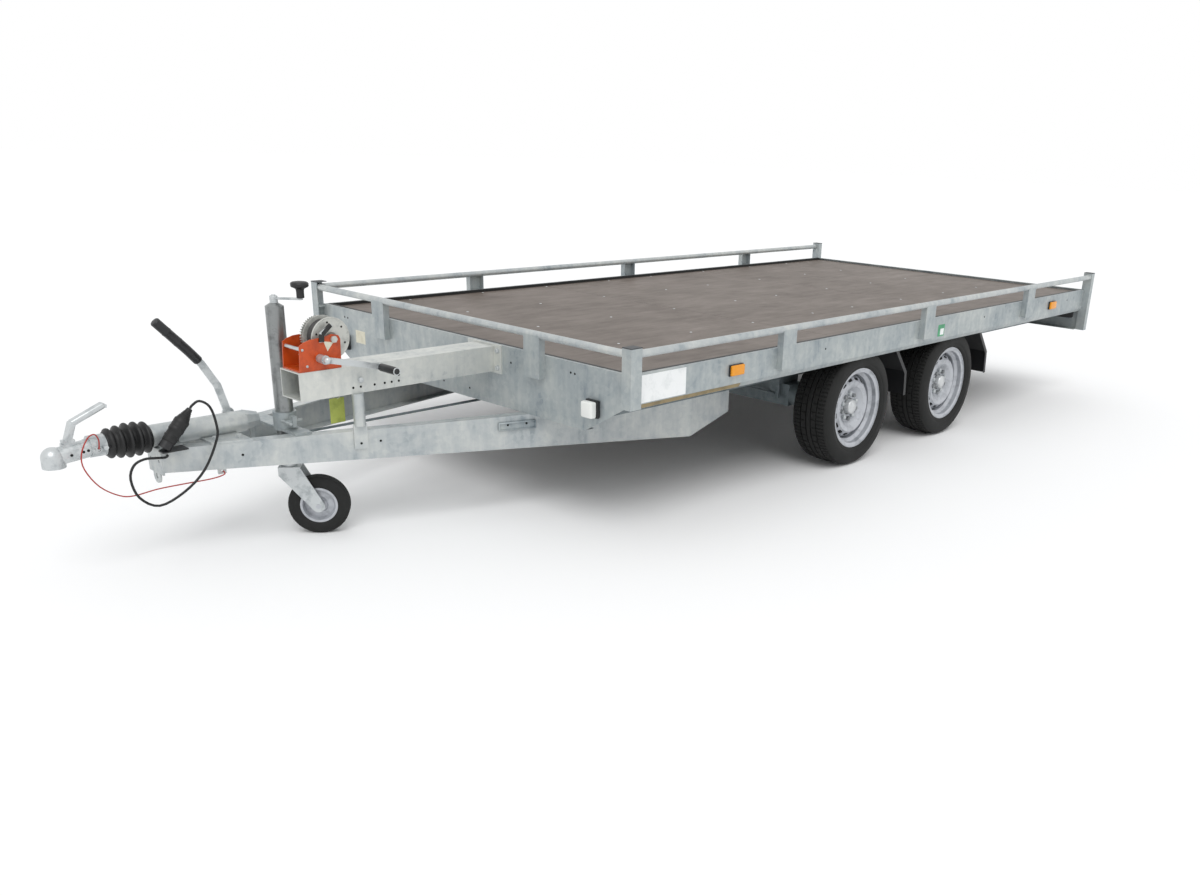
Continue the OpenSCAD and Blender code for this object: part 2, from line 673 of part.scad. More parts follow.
// Brake rod from the overrun housing to the rear axle, with the cables to the drums
module brake_rods() {
    rod_r = 5;
    wire_r = 4;
    wire_gap = 0.2;
    link_x = axles[0] + 280;
    arm_x = axles[0] + arm_reach;
    color("#6d7478") union() {
        rod([housing_rear - 32 - eps, 0, relay_z], [link_x, 0, relay_z], rod_r);
        block([link_x - 8, -60, relay_z - 8], [link_x, 60, relay_z + 34]);
        both_sides() {
            // each wire lies against the front of its axle's bracket or tube
            rod([link_x - 4, 52, relay_z], [arm_x + axle_s / 2 + 22 + wire_r + wire_gap, beam_y - 20, axle_z + 4],
                wire_r);
            rod([link_x - 4, 30, relay_z + 28],
                [axles[1] + arm_reach + axle_s / 2 + 1.6 + wire_gap, beam_y - 243, axle_z + 38], wire_r);
        }
    }
}

// Jockey wheel
module jockey_clamp() {
    // a plate across both drawbar beams with a split ring round the column
    reach_y = draw_y(column_x + 30 - front_x) - 6;
    ring_r = column_r + 9;
    color("#a9b1b3") difference() {
        union() {
            block([column_x - 30, -reach_y, draw_top], [column_x + 30, reach_y, draw_top + 8]);
            translate([column_x, column_y, draw_top]) cylinder(h = 62, r = ring_r);
            block([column_x - 8, column_y + 20, draw_top + 16], [column_x + 8, column_y + 66, draw_top + 54]);
            // clamp screw with its toggle
            translate([column_x - 30, column_y + 56, draw_top + 36]) rotate([0, 90, 0]) cylinder(h = 60, r = 6);
            translate([column_x + 26, column_y + 22, draw_top + 36]) rotate([-90, 0, 0]) cylinder(h = 66, r = 5);
        }
        translate([column_x, column_y, draw_top - 1]) cylinder(h = 70, r = column_r + 0.05);
    }
}
module jockey_sleeve() {
    color("#b4b8b6") translate([column_x, column_y, 0]) difference() {
        union() {
            translate([0, 0, column_foot]) cylinder(h = column_top - column_foot, r = column_r);
            translate([0, 0, column_top]) cylinder(h = 10, r1 = column_r, r2 = 14);
        }
        translate([0, 0, column_foot - 1]) cylinder(h = column_top - column_foot - 30, r = stem_r + 0.05);
    }
}
module jockey_crank() {
    z = column_top + 10;
    arm = 89;
    color("#8e9494") translate([column_x, column_y, z]) {
        translate([0, 0, eps]) cylinder(h = 20, r = 13);
        rotate([0, 0, 133]) {
            translate([0, -9, 12]) cube([arm, 18, 7]);
            translate([arm, 0, 12]) cylinder(h = 7, r = 13);
            translate([arm, 0, 12]) cylinder(h = 32, r = 8);
            translate([arm, 0, 34]) cylinder(h = 20, r1 = 12, r2 = 28);
            translate([arm, 0, 54]) cylinder(h = 12, r = 29);
            translate([arm, 0, 66]) cylinder(h = 7, r1 = 29, r2 = 16);
        }
    }
}
module jockey_stem() {
    color("#c3c6c6") translate([column_x, column_y, 0]) difference() {
        translate([0, 0, fork_top + eps]) cylinder(h = 600 - fork_top, r = stem_r);
        translate([0, 0, fork_top]) cylinder(h = 46, r = king_r + 0.05);
    }
}
module jockey_fork() {
    inner = jockey_w / 2 + 5;
    t = 4;
    color("#c3c8c8") translate([column_x, column_y, 0]) rotate([0, 0, jockey_turn]) difference() {
        union() {
            for (y = [-inner - t, inner]) along_y(y, y + t) hull() {
                translate([-34, fork_top - 30]) square([72, 30]);
                translate([jockey_trail, jockey_r]) circle(r = 22, $fn = 32);
            }
            translate([-34, -inner - t, fork_top - 8]) cube([72, 2 * (inner + t), 8]);
            translate([0, 0, fork_top - 4]) cylinder(h = 46, r = king_r);
        }
        translate([jockey_trail, -inner - t - 1, jockey_r]) rotate([-90, 0, 0])
            cylinder(h = 2 * (inner + t + 1), r = 8.05);
    }
}
module at_jockey_wheel() {
    translate([wheel_x, wheel_y, jockey_r]) rotate([0, 0, jockey_turn]) rotate([-90, 0, 0]) children();
}
module jockey_wheel_rim() {
    w = jockey_w / 2;
    color("#b9bec0") at_jockey_wheel() {
        rotate_extrude() polygon([[0, -w + 6], [26, -w + 6], [30, -8], [50, -4], [56, -w + 4],
            [jockey_r - 41, -w + 4], [jockey_r - 41, w - 4], [56, w - 4], [50, 4], [30, 8],
            [26, w - 6], [0, w - 6]]);
        translate([0, 0, -jockey_w / 2 - 11]) cylinder(h = jockey_w + 22, r = 8);
    }
}
module jockey_wheel_tyre() {
    w = jockey_w / 2;
    color("#262626") at_jockey_wheel() rotate_extrude() polygon([[jockey_r - 40.7, -w + 3],
        [jockey_r - 30, -w], [jockey_r - 10, -w], [jockey_r - 3, -w + 7], [jockey_r, -w + 16],
        [jockey_r, w - 16], [jockey_r - 3, w - 7], [jockey_r - 10, w], [jockey_r - 30, w],
        [jockey_r - 40.7, w - 3]]);
}

// Axles: a square tube, a trailing arm, a stub and a back plate on each side
arm_in_y = track_half - 145;
arm_out_y = track_half - 104;
back_y = track_half - 46;
stub_r = 17.5;
module axle(x) {
    tube_x0 = x + arm_reach;
    h = axle_s / 2;
    color("#7f898e") union() {
        block([tube_x0 - h, -arm_in_y - 1, axle_z - h], [tube_x0 + h, arm_in_y + 1, axle_z + h]);
        both_sides() {
            // mounting bracket up to the long beam
            block([tube_x0 - h - 22, beam_y - beam_flange, axle_z + h - 1],
                  [tube_x0 + h + 22, beam_y, sill_foot]);
            for (s = [-1, 1]) block([tube_x0 + s * (h + 18) - 4, beam_y - beam_flange, axle_z - 16],
                                    [tube_x0 + s * (h + 18) + 4, beam_y, sill_foot - 2]);
            // forged arm, wheel boss, stub axle and back plate
            along_y(arm_in_y, arm_out_y) hull() {
                translate([tube_x0, axle_z]) circle(r = 50, $fn = 32);
                translate([x, tyre_r]) circle(r = 38, $fn = 32);
            }
            translate([x, arm_in_y + 2, tyre_r]) rotate([-90, 0, 0]) cylinder(h = back_y - arm_in_y - 2, r = 36);
            translate([x, back_y - 6, tyre_r]) rotate([-90, 0, 0]) cylinder(h = 6, r = 112);
            translate([x, arm_in_y + 2, tyre_r]) rotate([-90, 0, 0])
                cylinder(h = track_half + 39 - arm_in_y - 2, r = stub_r);
        }
    }
}
module axle_front() axle(axles[0]);
module axle_rear() axle(axles[1]);

// Wheels, turned about +Y: y is counted from the tyre's middle, outwards
module at_wheel(i, side) {
    translate([axles[i], side * track_half, tyre_r]) mirror([0, side < 0 ? 1 : 0, 0])
        rotate([-90, 0, 0]) children();
}
module tyre() {
    r = tyre_r;
    w = tyre_w / 2;
    b = rim_d / 2;
    groove = 7;
    // half of the section, mirrored about the tyre's middle
    half = [[r - groove, 6], [r, 6.5], [r, 30], [r - groove, 31], [r - groove, 38], [r - 0.5, 39],
            [r - 2, 62], [r - 5, w - 20], [r - 14, w - 11], [r - 30, w - 3], [r - 48, w],
            [r - 66, w - 2], [b + 20, w - 8], [b + 15.6, w - 13], [b + 15.5, w - 19.4],
            [b + eps, w - 23.4]];
    inner = [[b + eps, w - 36], [b + 12, w - 32], [r - 50, w - 12], [r - 22, w - 18], [r - 15, w - 40]];
    full = concat(half, inner,
                  [for (i = [len(inner) - 1:-1:0]) [inner[i][0], -inner[i][1]]],
                  [for (i = [len(half) - 1:-1:0]) [half[i][0], -half[i][1]]]);
    color("#262626") rotate_extrude($fn = 72) polygon(full);
}
rim_t = 4;
face_y = 30;                                // wheel disc's mounting face from the middle
module rim() {
    b = rim_d / 2;
    w = tyre_w / 2;
    slot_n = 16;
    // outer surface of the barrel with its drop centre and two flanges
    barrel = [[b + 15, w - 13], [b + 15, w - 19], [b, w - 23], [b, w - 42], [b - 14, w - 54],
              [b - 14, -w + 54], [b, -w + 42], [b, -w + 23], [b + 15, -w + 19], [b + 15, -w + 13]];
    // inner surface of the dished disc, from the barrel to the middle hole
    disc = [[b - 21.6, -6], [b - 21.6, face_y - 16], [130, face_y + 10], [112, face_y + 26],
            [94, face_y + 21], [72, face_y], [39, face_y]];
    color("#b5b8bd") union() {
        rotate_extrude($fn = 72) polygon(bent(barrel, -rim_t));
        difference() {
            rotate_extrude($fn = 72) polygon(bent(disc, -rim_t));
            for (i = [0:slot_n - 1]) rotate([0, 0, 360 * (i + 0.5) / slot_n])
                translate([126, 0, 0]) linear_extrude(90) {
                    square([12, 18], center = true);
                    for (s = [-1, 1]) translate([0, s * 9]) circle(r = 6, $fn = 24);
                }
            for (i = [0:4]) rotate([0, 0, 72 * i + 18]) translate([56, 0, 0]) cylinder(h = 90, r = 7);
        }
    }
}
module hub() {
    drum_r = 108;
    color("#a7acae") difference() {
        union() {
            difference() {
                translate([0, 0, -41]) cylinder(h = 58, r = drum_r);
                translate([0, 0, -42]) cylinder(h = 48, r = drum_r - 9);
            }
            translate([0, 0, -34]) cylinder(h = 50, r = 34);
            translate([0, 0, 10]) cylinder(h = face_y - eps - 10, r = 70);
            translate([0, 0, face_y - 2]) cylinder(h = 26, r = 32);
            translate([0, 0, face_y + 24]) cylinder(h = 6, r1 = 32, r2 = 22);
            for (i = [0:4]) rotate([0, 0, 72 * i + 18]) translate([56, 0, face_y - 2]) {
                cylinder(h = 16, r = 6);
                translate([0, 0, 2 + rim_t + eps]) cylinder(h = 12, r = 10, $fn = 6);
            }
        }
        translate([0, 0, -42]) cylinder(h = 82, r = stub_r + 0.05);
    }
}
module tyre_front_left() at_wheel(0, 1) tyre();
module tyre_front_right() at_wheel(0, -1) tyre();
module tyre_rear_left() at_wheel(1, 1) tyre();
module tyre_rear_right() at_wheel(1, -1) tyre();
module rim_front_left() at_wheel(0, 1) rim();
module rim_front_right() at_wheel(0, -1) rim();
module rim_rear_left() at_wheel(1, 1) rim();
module rim_rear_right() at_wheel(1, -1) rim();
module hub_front_left() at_wheel(0, 1) hub();
module hub_front_right() at_wheel(0, -1) hub();
module hub_rear_left() at_wheel(1, 1) hub();
module hub_rear_right() at_wheel(1, -1) hub();

// Mudguard behind each wheel: hangs from a cross member, slants back, then drops
module mudguard(x) {
    y0 = track_half - tyre_w / 2 - 5;
    y1 = rail_y - lip_in - sheet_t - 4;
    t = 3;
    lip = 18;
    path = [[x - guard_x + 15, cross_foot], [x - guard_x - 15, cross_foot],
            [x - guard_x - 130, cross_foot - 134], [x - guard_x - 140, cross_foot - 247]];
    color("#1b1b1c") union() {
        along_y(y0, y1) polygon(bent(path, t));
        // lip folded forwards along the outer edge
        along_y(y1 - t, y1) polygon(bent([path[1], path[2], path[3]], lip));
    }
}
module mudguards() both_sides() for (x = axles) mudguard(x);

// Lamps
module side_markers() {
    color("#e0921c") both_sides() for (x = [594, deck_l - 484]) hull() {
        translate([front_x - x - 41, rail_y + eps, web_foot + 32]) cube([82, 6, 44]);
        translate([front_x - x - 36, rail_y + eps, web_foot + 37]) cube([72, 16, 34]);
    }
}
module front_lamps() {
    color("#e8e8e4") both_sides() {
        block([plate_x + eps, rail_y - 207, sill_foot + 58], [plate_x + 14, rail_y - 145, sill_foot + 122]);
        block([plate_x + 13.5, rail_y - 204, sill_foot + 61], [plate_x + 42, rail_y - 148, sill_foot + 119]);
    }
}
module tail_lamps() {
    color("#b3271f") both_sides()
        block([sill_x - 14, lamp_y - lamp_cut[0] / 2 + eps, lamp_z - lamp_cut[1] / 2 + eps],
              [sill_x + 36, lamp_y + lamp_cut[0] / 2 - eps, lamp_z + lamp_cut[1] / 2 - eps]);
}

// Plug in its parking holder on the drawbar, and the two free cords
plug_a = [front_x + nose_x - 11, 80, 413];
plug_b = [front_x + nose_x - 92, 80, 508];
module plug_holder() {
    d = unit(plug_a - plug_b);
    color("#3c4043") union() {
        translate([0, 0, draw_top]) linear_extrude(4) translate([front_x + nose_x, 0])
            polygon([[-66, 46], [-4, 46], [16, 64], [16, 96], [-66, 96]]);
        rod(plug_a + 24 * d, plug_a + eps * d, 20);
    }
}
module plug() {
    d = unit(plug_b - plug_a);
    l = norm(plug_b - plug_a);
    color("#1c1c1d") union() {
        rod(plug_a, plug_a + 40 * d, 22);
        rod(plug_a + 39 * d, plug_a + 84 * d, 24);
        translate(plug_a + 83 * d) rotate([0, acos(d[2]), atan2(d[1], d[0])])
            cylinder(h = l - 83, r1 = 20, r2 = 8);
    }
}

// A tube swept along a cord's own points
function tangent(p, i) = unit(p[min(i + 1, len(p) - 1)] - p[max(i - 1, 0)]);
function side_of(t) = unit(cross(t, abs(t[1]) < 0.9 ? [0, 1, 0] : [1, 0, 0]));
function ring(p, i, r, n) =
    let (t = tangent(p, i), a = side_of(t), b = cross(t, a))
    [for (k = [0:n - 1]) p[i] + r * (cos(360 * k / n) * a + sin(360 * k / n) * b)];
// points of a smooth curve through the chosen points, s steps for each stretch
function smooth(p, s) = [for (i = [0:len(p) - 2]) for (k = [0:s - 1])
    let (t = k / s, a = p[max(i - 1, 0)], b = p[i], c = p[i + 1], d = p[min(i + 2, len(p) - 1)])
    0.5 * (2 * b + (c - a) * t + (2 * a - 5 * b + 4 * c - d) * t * t
           + (3 * b - a - 3 * c + d) * t * t * t), p[len(p) - 1]];
module cord(points, d, n, s) {
    p = smooth(points, s);
    m = len(p);
    polyhedron(points = [for (i = [0:m - 1]) each ring(p, i, d / 2, n)],
        faces = concat([[for (k = [0:n - 1]) k]],
            [for (i = [0:m - 2]) for (k = [0:n - 1])
                [i * n + (k + 1) % n, i * n + k, (i + 1) * n + k, (i + 1) * n + (k + 1) % n]],
            [[for (k = [n - 1:-1:0]) (m - 1) * n + k]]));
}
cord_x = front_x + nose_x - 1150;            // both routes are laid out for a nose 1150 ahead
cable_d = 8;
plug_route = [[1057.8, 80, 508.3], [1050, 81, 518], [1030, 90, 530], [1006, 106, 510],
              [997, 118, 453], [1003, 120, 404], [1053, 120, 313], [1125, 120, 254], [1207, 120, 226],
              [1263, 120, 265], [1281, 120, 328], [1266, 120, 369], [1232, 116, 382],
              [1190, 103, 375], [1158, 84, 366], [1142, 66, 363], [1137, 54.9, 362]];
module plug_cable() {
    color("#1c1c1d") cord([for (p = plug_route) p + [cord_x, 0, 0]], cable_d, 8, 4);
}
breakaway_d = 4;
breakaway_route = [[984, 100.3, 290], [988, 112, 282], [1030, 112, 276], [1110, 98, 273],
                   [1194, 90, 271], [1266, 90, 265], [1309, 90, 275], [1361, 90, 315],
                   [1395, 90, 376], [1396, 88, 423], [1370, 80, 466], [1346, 70, 472],
                   [1334, 62, 452], [1333, 56, 430], [1332, 48.4, 419]];
module breakaway_cable() {
    color("#b4302a") cord([for (p = breakaway_route) p + [cord_x, 0, 0]], breakaway_d, 8, 4);
}

deck_panels();
side_rail_left();
side_rail_right();
front_plate();
rear_sill();
cross_members();
long_beams();
corner_posts();
post_caps();
stanchions();
handrail_left();
handrail_right();
handrail_front();
drawbar_left();
drawbar_right();
drawbar_nose();
winch_beam();
winch_post();
winch_frame();
winch_fittings();
winch_drum();
winch_crank();
overrun_housing();
coupling_head();
coupling_handle();
bellows();
brake_lever();
brake_rods();
jockey_clamp();
jockey_sleeve();
jockey_crank();
jockey_stem();
jockey_fork();
jockey_wheel_rim();
jockey_wheel_tyre();
axle_front();
axle_rear();
tyre_front_left();
tyre_front_right();
tyre_rear_left();
tyre_rear_right();
rim_front_left();
rim_front_right();
rim_rear_left();
rim_rear_right();
hub_front_left();
hub_front_right();
hub_rear_left();
hub_rear_right();
mudguards();
side_markers();
front_lamps();
tail_lamps();
plug_holder();
plug();
plug_cable();
breakaway_cable();
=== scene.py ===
# %% [markdown]
# A flatbed car trailer in galvanised steel. Its metal frame comes ready made and fixed in place.
# This lesson gives every part its finish, and adds the pieces that a lathe, a mould or a brush would
# leave on the real trailer: tyres with a tread, rubber bellows, grips, cables, lamps, labels and screws.

# %% Load the frame
import json
import math
import bpy
from mathutils import Matrix, Vector


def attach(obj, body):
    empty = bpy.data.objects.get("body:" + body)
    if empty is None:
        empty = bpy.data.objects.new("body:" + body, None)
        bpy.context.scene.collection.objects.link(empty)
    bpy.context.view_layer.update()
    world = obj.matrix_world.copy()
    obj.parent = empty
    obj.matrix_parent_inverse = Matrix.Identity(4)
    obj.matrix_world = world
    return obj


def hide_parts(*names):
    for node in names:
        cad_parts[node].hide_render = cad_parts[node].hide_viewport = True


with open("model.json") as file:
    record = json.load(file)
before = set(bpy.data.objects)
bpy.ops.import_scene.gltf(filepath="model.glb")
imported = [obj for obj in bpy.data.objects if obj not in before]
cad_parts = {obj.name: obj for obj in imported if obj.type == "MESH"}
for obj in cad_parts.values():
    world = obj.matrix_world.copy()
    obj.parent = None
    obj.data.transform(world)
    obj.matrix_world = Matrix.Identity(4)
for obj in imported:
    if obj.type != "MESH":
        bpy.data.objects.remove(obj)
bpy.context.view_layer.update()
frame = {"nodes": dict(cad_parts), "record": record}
nodes = frame["nodes"]

# %% [markdown]
# The camera stands left of the trailer and ahead of it, a little above a person's waist, and looks down
# at the deck. Its lens is slightly wide. A small shift stands for the way the picture was cropped.

# %% Camera
camera_at = (3.677, 3.404, 1.369)
heading, pitch, roll = (math.radians(a) for a in (-138.91, 20.27, 2.24))
forward = Vector((math.cos(pitch) * math.cos(heading), math.cos(pitch) * math.sin(heading),
                  -math.sin(pitch)))
level = Vector((math.sin(heading), -math.cos(heading), 0))
above = level.cross(forward)
right = level * math.cos(roll) + above * math.sin(roll)
upward = above * math.cos(roll) - level * math.sin(roll)
lens = bpy.data.cameras.new("camera")
lens.sensor_width = 36
lens.lens = 31.57
lens.shift_x = -0.0689
lens.shift_y = 0.0664
camera = bpy.data.objects.new("camera", lens)
camera.matrix_world = Matrix.Translation(camera_at) @ Matrix((right, upward, -forward)).transposed().to_4x4()
bpy.context.scene.collection.objects.link(camera)
bpy.context.scene.camera = camera
print("camera looks along", [round(v, 3) for v in forward])

# %% [markdown]
# A few helpers serve every material. One turns a written colour into the linear values that Blender
# mixes, and one adds a shader node, sets it up and links it. The others make the pieces that most
# materials share: a colour ramp, a noise, a patchy gloss and small bumps.

# %% Material helpers
MM = 0.001                                   # a millimetre in Blender's metres


def linear(code):
    """A hex colour such as #aab0b1 as linear RGBA."""
    parts = [int(code[i:i + 2], 16) / 255 for i in (1, 3, 5)]
    return [p / 12.92 if p <= 0.04045 else ((p + 0.055) / 1.055) ** 2.4 for p in parts] + [1.0]


def add(material, kind, settings=None, values=None, links=None):
    """Adds a node of that kind with its settings, its socket values and its links."""
    made = material.node_tree.nodes.new(kind)
    for key, value in (settings or {}).items():
        setattr(made, key, value)
    for key, value in (values or {}).items():
        made.inputs[key].default_value = value
    for key, source in (links or {}).items():
        material.node_tree.links.new(source, made.inputs[key])
    return made


def blank(name, **values):
    """A new material with its shader's plain values set."""
    material = bpy.data.materials.new(name)
    material.use_nodes = True
    shader = material.node_tree.nodes["Principled BSDF"]
    for key, value in values.items():
        shader.inputs[key.replace("_", " ")].default_value = value
    return material, shader


def wire(material, shader, **sources):
    """Links each source to the shader's socket of that name."""
    for key, source in sources.items():
        material.node_tree.links.new(source, shader.inputs[key.replace("_", " ")])


def ramp(material, source, stops):
    """A colour ramp over a value, from pairs of place and hex colour."""
    made = add(material, "ShaderNodeValToRGB", links={"Fac": source})
    bar = made.color_ramp
    while len(bar.elements) < len(stops):
        bar.elements.new(0.5)
    for element, (place, code) in zip(bar.elements, stops):
        element.position = place
        element.color = linear(code)
    return made.outputs["Color"]


def noise(material, place, grain, **values):
    """A noise whose patches are about that many millimetres wide."""
    values["Scale"] = 1 / (grain * MM)
    return add(material, "ShaderNodeTexNoise", values=values, links={"Vector": place}).outputs["Fac"]


def patchy(material, pattern, dull, glossy, low=0.0, high=1.0):
    """Roughness that goes from dull to glossy as the pattern goes from low to high."""
    made = add(material, "ShaderNodeMapRange", links={"Value": pattern}, values={
        "From Min": low, "From Max": high, "To Min": dull, "To Max": glossy})
    return made.outputs["Result"]


def bumps(material, height, strength, depth):
    """Small bumps that follow a pattern, with their depth in millimetres."""
    made = add(material, "ShaderNodeBump", values={"Strength": strength, "Distance": depth * MM},
               links={"Height": height})
    return made.outputs["Normal"]


print("material helpers ready")

# %% [markdown]
# Hot-dip galvanising leaves zinc crystals of one or two centimetres, cloudy patches, and runs where the
# zinc drained off. A cell pattern gives the crystals, a broad noise the clouds, and a stretched noise the
# runs. The clouds also change the roughness, so that the gloss breaks up as on real zinc.

# %% Galvanised steel
def galvanised(name, dark, middle, light, roughness=0.46):
    """Hot-dip galvanised steel: cloudy, spangled and streaked."""
    material, shader = blank(name, Metallic=0.38)
    place = add(material, "ShaderNodeTexCoord").outputs["Object"]
    clouds = noise(material, place, 170, Detail=8, Roughness=0.6, Distortion=0.6)
    crystals = add(material, "ShaderNodeTexVoronoi", values={"Scale": 1 / (15 * MM)}, links={"Vector": place})
    grey = add(material, "ShaderNodeSeparateColor", links={"Color": crystals.outputs["Color"]}).outputs["Red"]
    squeezed = add(material, "ShaderNodeMapping", values={"Scale": (1, 1, 0.14)}, links={"Vector": place})
    runs = noise(material, squeezed.outputs["Vector"], 26, Detail=4, Roughness=0.6)
    mixed = add(material, "ShaderNodeMix", values={"Factor": 0.1}, links={"A": clouds, "B": grey})
    mixed = add(material, "ShaderNodeMix", values={"Factor": 0.3},
                links={"A": mixed.outputs["Result"], "B": runs})
    tone = mixed.outputs["Result"]
    wire(material, shader, Base_Color=ramp(material, tone, [(0.3, dark), (0.43, middle), (0.64, light)]),
         Roughness=patchy(material, tone, roughness + 0.12, roughness - 0.1, 0.3, 0.7),
         Normal=bumps(material, tone, 0.12, 0.4))
    return material


zinc = galvanised("hot_dip_galvanised", "#7f8a90", "#9da5a8", "#b7bcba")
pale_zinc = galvanised("pale_galvanised", "#8c969b", "#adb3b5", "#c6c9c6", 0.42)
bright_zinc = galvanised("bright_galvanised", "#a3a9aa", "#c3c6c3", "#d6d7d1", 0.42)
dark_zinc = galvanised("dull_galvanised", "#4f585c", "#6c767a", "#879093", 0.55)
print("galvanised steel in four tones")

# %% [markdown]
# Zinc plating is thinner and even, with a bright satin gloss. Paints and lacquers share one recipe: a
# plain coat with faint dust in it, whose surface has the slight waviness known as orange peel.

# %% Plated and painted steel
def coated(name, colour, dusty, metallic, roughness):
    """A coat of plating, paint or lacquer with a trace of dust and a fine orange peel."""
    material, shader = blank(name, Metallic=metallic, Roughness=roughness)
    place = add(material, "ShaderNodeTexCoord").outputs["Object"]
    dust = noise(material, place, 38, Detail=5, Roughness=0.62)
    peel = noise(material, place, 3, Detail=2)
    wire(material, shader, Base_Color=ramp(material, dust, [(0.36, dusty), (0.52, colour), (0.7, colour)]),
         Normal=bumps(material, peel, 0.1, 0.2))
    return material


plated = coated("zinc_plated_steel", "#c6cacb", "#a5abad", 0.55, 0.34)
orange = coated("orange_powder_coat", "#c24c18", "#ab3f12", 0.0, 0.36)
silver = coated("silver_wheel_lacquer", "#b9bcc1", "#a2a5aa", 0.35, 0.36)
pale_silver = coated("pale_drum_lacquer", "#c2c3bd", "#a7aaa5", 0.3, 0.36)
tube_zinc = coated("rolled_tube_zinc", "#8f9292", "#77797a", 0.75, 0.32)
bright_cap = coated("bright_hub_cap", "#cfd1d2", "#b7babb", 0.45, 0.28)
cast = coated("cast_brake_drum", "#8d9092", "#6e7173", 0.3, 0.6)
cream = coated("cream_label", "#d9d5c2", "#cbc6b0", 0.0, 0.5)
white = coated("white_vinyl", "#eceeee", "#e0e3e3", 0.0, 0.35)
leaf_green = coated("green_vinyl", "#3f9a6a", "#37875d", 0.0, 0.4)
lime = coated("lime_card", "#a8b256", "#8f9a48", 0.0, 0.6)
tan = coated("tan_painted_reflection", "#94835f", "#7d7052", 0.0, 0.6)
black_oxide = coated("black_oxide_steel", "#2b2c2d", "#3a3a39", 0.4, 0.45)
print("plating, paints and labels")

# %% [markdown]
# Rubber and moulded plastic are near black, and dust turns them greyer in places. A fine bump gives the
# grain that the mould leaves. The wire rope on the winch is painted dark: painted shade between the
# winch drum's flanges.

# %% Rubber and plastic
def moulded(name, colour, dusty, roughness, grain, depth):
    """Rubber or plastic with a fine moulded grain."""
    material, shader = blank(name)
    place = add(material, "ShaderNodeTexCoord").outputs["Object"]
    dust = noise(material, place, 60, Detail=6, Roughness=0.65)
    skin = noise(material, place, grain, Detail=3)
    wire(material, shader, Base_Color=ramp(material, dust, [(0.35, colour), (0.6, colour), (0.78, dusty)]),
         Roughness=patchy(material, dust, roughness + 0.12, roughness - 0.1),
         Normal=bumps(material, skin, 0.25, depth))
    return material


tyre_rubber = moulded("vulcanised_tyre_rubber", "#101110", "#1b1b1a", 0.76, 2.4, 0.4)
soft_rubber = moulded("moulded_rubber", "#0e0f10", "#191a19", 0.5, 2.0, 0.2)
black_plastic = moulded("black_polypropylene", "#1b1c1e", "#2b2c2d", 0.42, 1.6, 0.2)
grey_plastic = moulded("dark_polyethylene", "#35383b", "#464a4c", 0.5, 1.6, 0.2)
red_coat = moulded("red_pvc_coat", "#a52a22", "#8f2a22", 0.4, 2.0, 0.1)
# Painted shade: near-black discs set into holes and slots stand for the shade inside them.
hole_shade_paint = moulded("shaded_hole", "#0c0d0e", "#121314", 0.8, 3.0, 0.1)
rope_with_painted_shade = moulded("wire_rope_with_painted_shade", "#3c3b3a", "#5a5650", 0.45, 1.5, 0.3)
print("rubber, plastic and wire rope")

# %% [markdown]
# The deck is plywood with a hot-pressed phenolic film: brown-grey, satin, with a fine wire-mesh print
# against slipping. Broad scuffs and a grain along the deck vary its tone.

# %% Deck film
deck_film, shader = blank("phenolic_film_on_plywood")
place = add(deck_film, "ShaderNodeTexCoord").outputs["Object"]
scuffs = noise(deck_film, place, 420, Detail=8, Roughness=0.7, Distortion=0.4)
stretched = add(deck_film, "ShaderNodeMapping", values={"Scale": (0.35, 1.6, 1)}, links={"Vector": place})
grain = noise(deck_film, stretched.outputs["Vector"], 70, Detail=6, Roughness=0.7)
worn = add(deck_film, "ShaderNodeMix", values={"Factor": 0.45},
           links={"A": scuffs, "B": grain}).outputs["Result"]
mesh_print = add(deck_film, "ShaderNodeTexVoronoi", values={"Scale": 1 / (7 * MM), "Randomness": 0.15},
                 links={"Vector": place}).outputs["Distance"]
browns = [(0.36, "#554b44"), (0.48, "#625850"), (0.58, "#6a5f57"), (0.7, "#776c63")]
wire(deck_film, shader, Base_Color=ramp(deck_film, worn, browns),
     Roughness=patchy(deck_film, worn, 0.62, 0.46, 0.3, 0.7), Normal=bumps(deck_film, mesh_print, 0.35, 0.3))
print("deck film in", len(browns), "browns")

# %% [markdown]
# A lamp lens is clear or tinted acrylic over a reflector. Its fine optic ribs are a wave pattern in the
# bump, and a low roughness gives the sharp highlight.

# %% Lamp lenses
def lens_plastic(name, colour, deep):
    """Tinted acrylic with optic ribs about 3 mm apart."""
    material, shader = blank(name, Roughness=0.14, IOR=1.49)
    place = add(material, "ShaderNodeTexCoord").outputs["Object"]
    ribs = add(material, "ShaderNodeTexWave", {"bands_direction": "Z"}, {"Scale": 1 / (10 * MM)},
               {"Vector": place}).outputs["Fac"]
    wire(material, shader, Base_Color=ramp(material, ribs, [(0.0, deep), (0.8, colour)]),
         Normal=bumps(material, ribs, 0.35, 0.6))
    return material


amber = lens_plastic("amber_acrylic", "#ee9d1a", "#dd8a12")
clear_white = lens_plastic("clear_acrylic", "#f0f1ee", "#d8dad6")
signal_red = lens_plastic("red_acrylic", "#b3201b", "#8d1512")
print("lamp lenses")

# %% [markdown]
# Every carried-over metal part takes the finish of its slot in the record. The drawbar and the handrails
# came from another zinc bath, and are a shade lighter than the deck's frame. The winch beam is the
# newest and brightest of all.

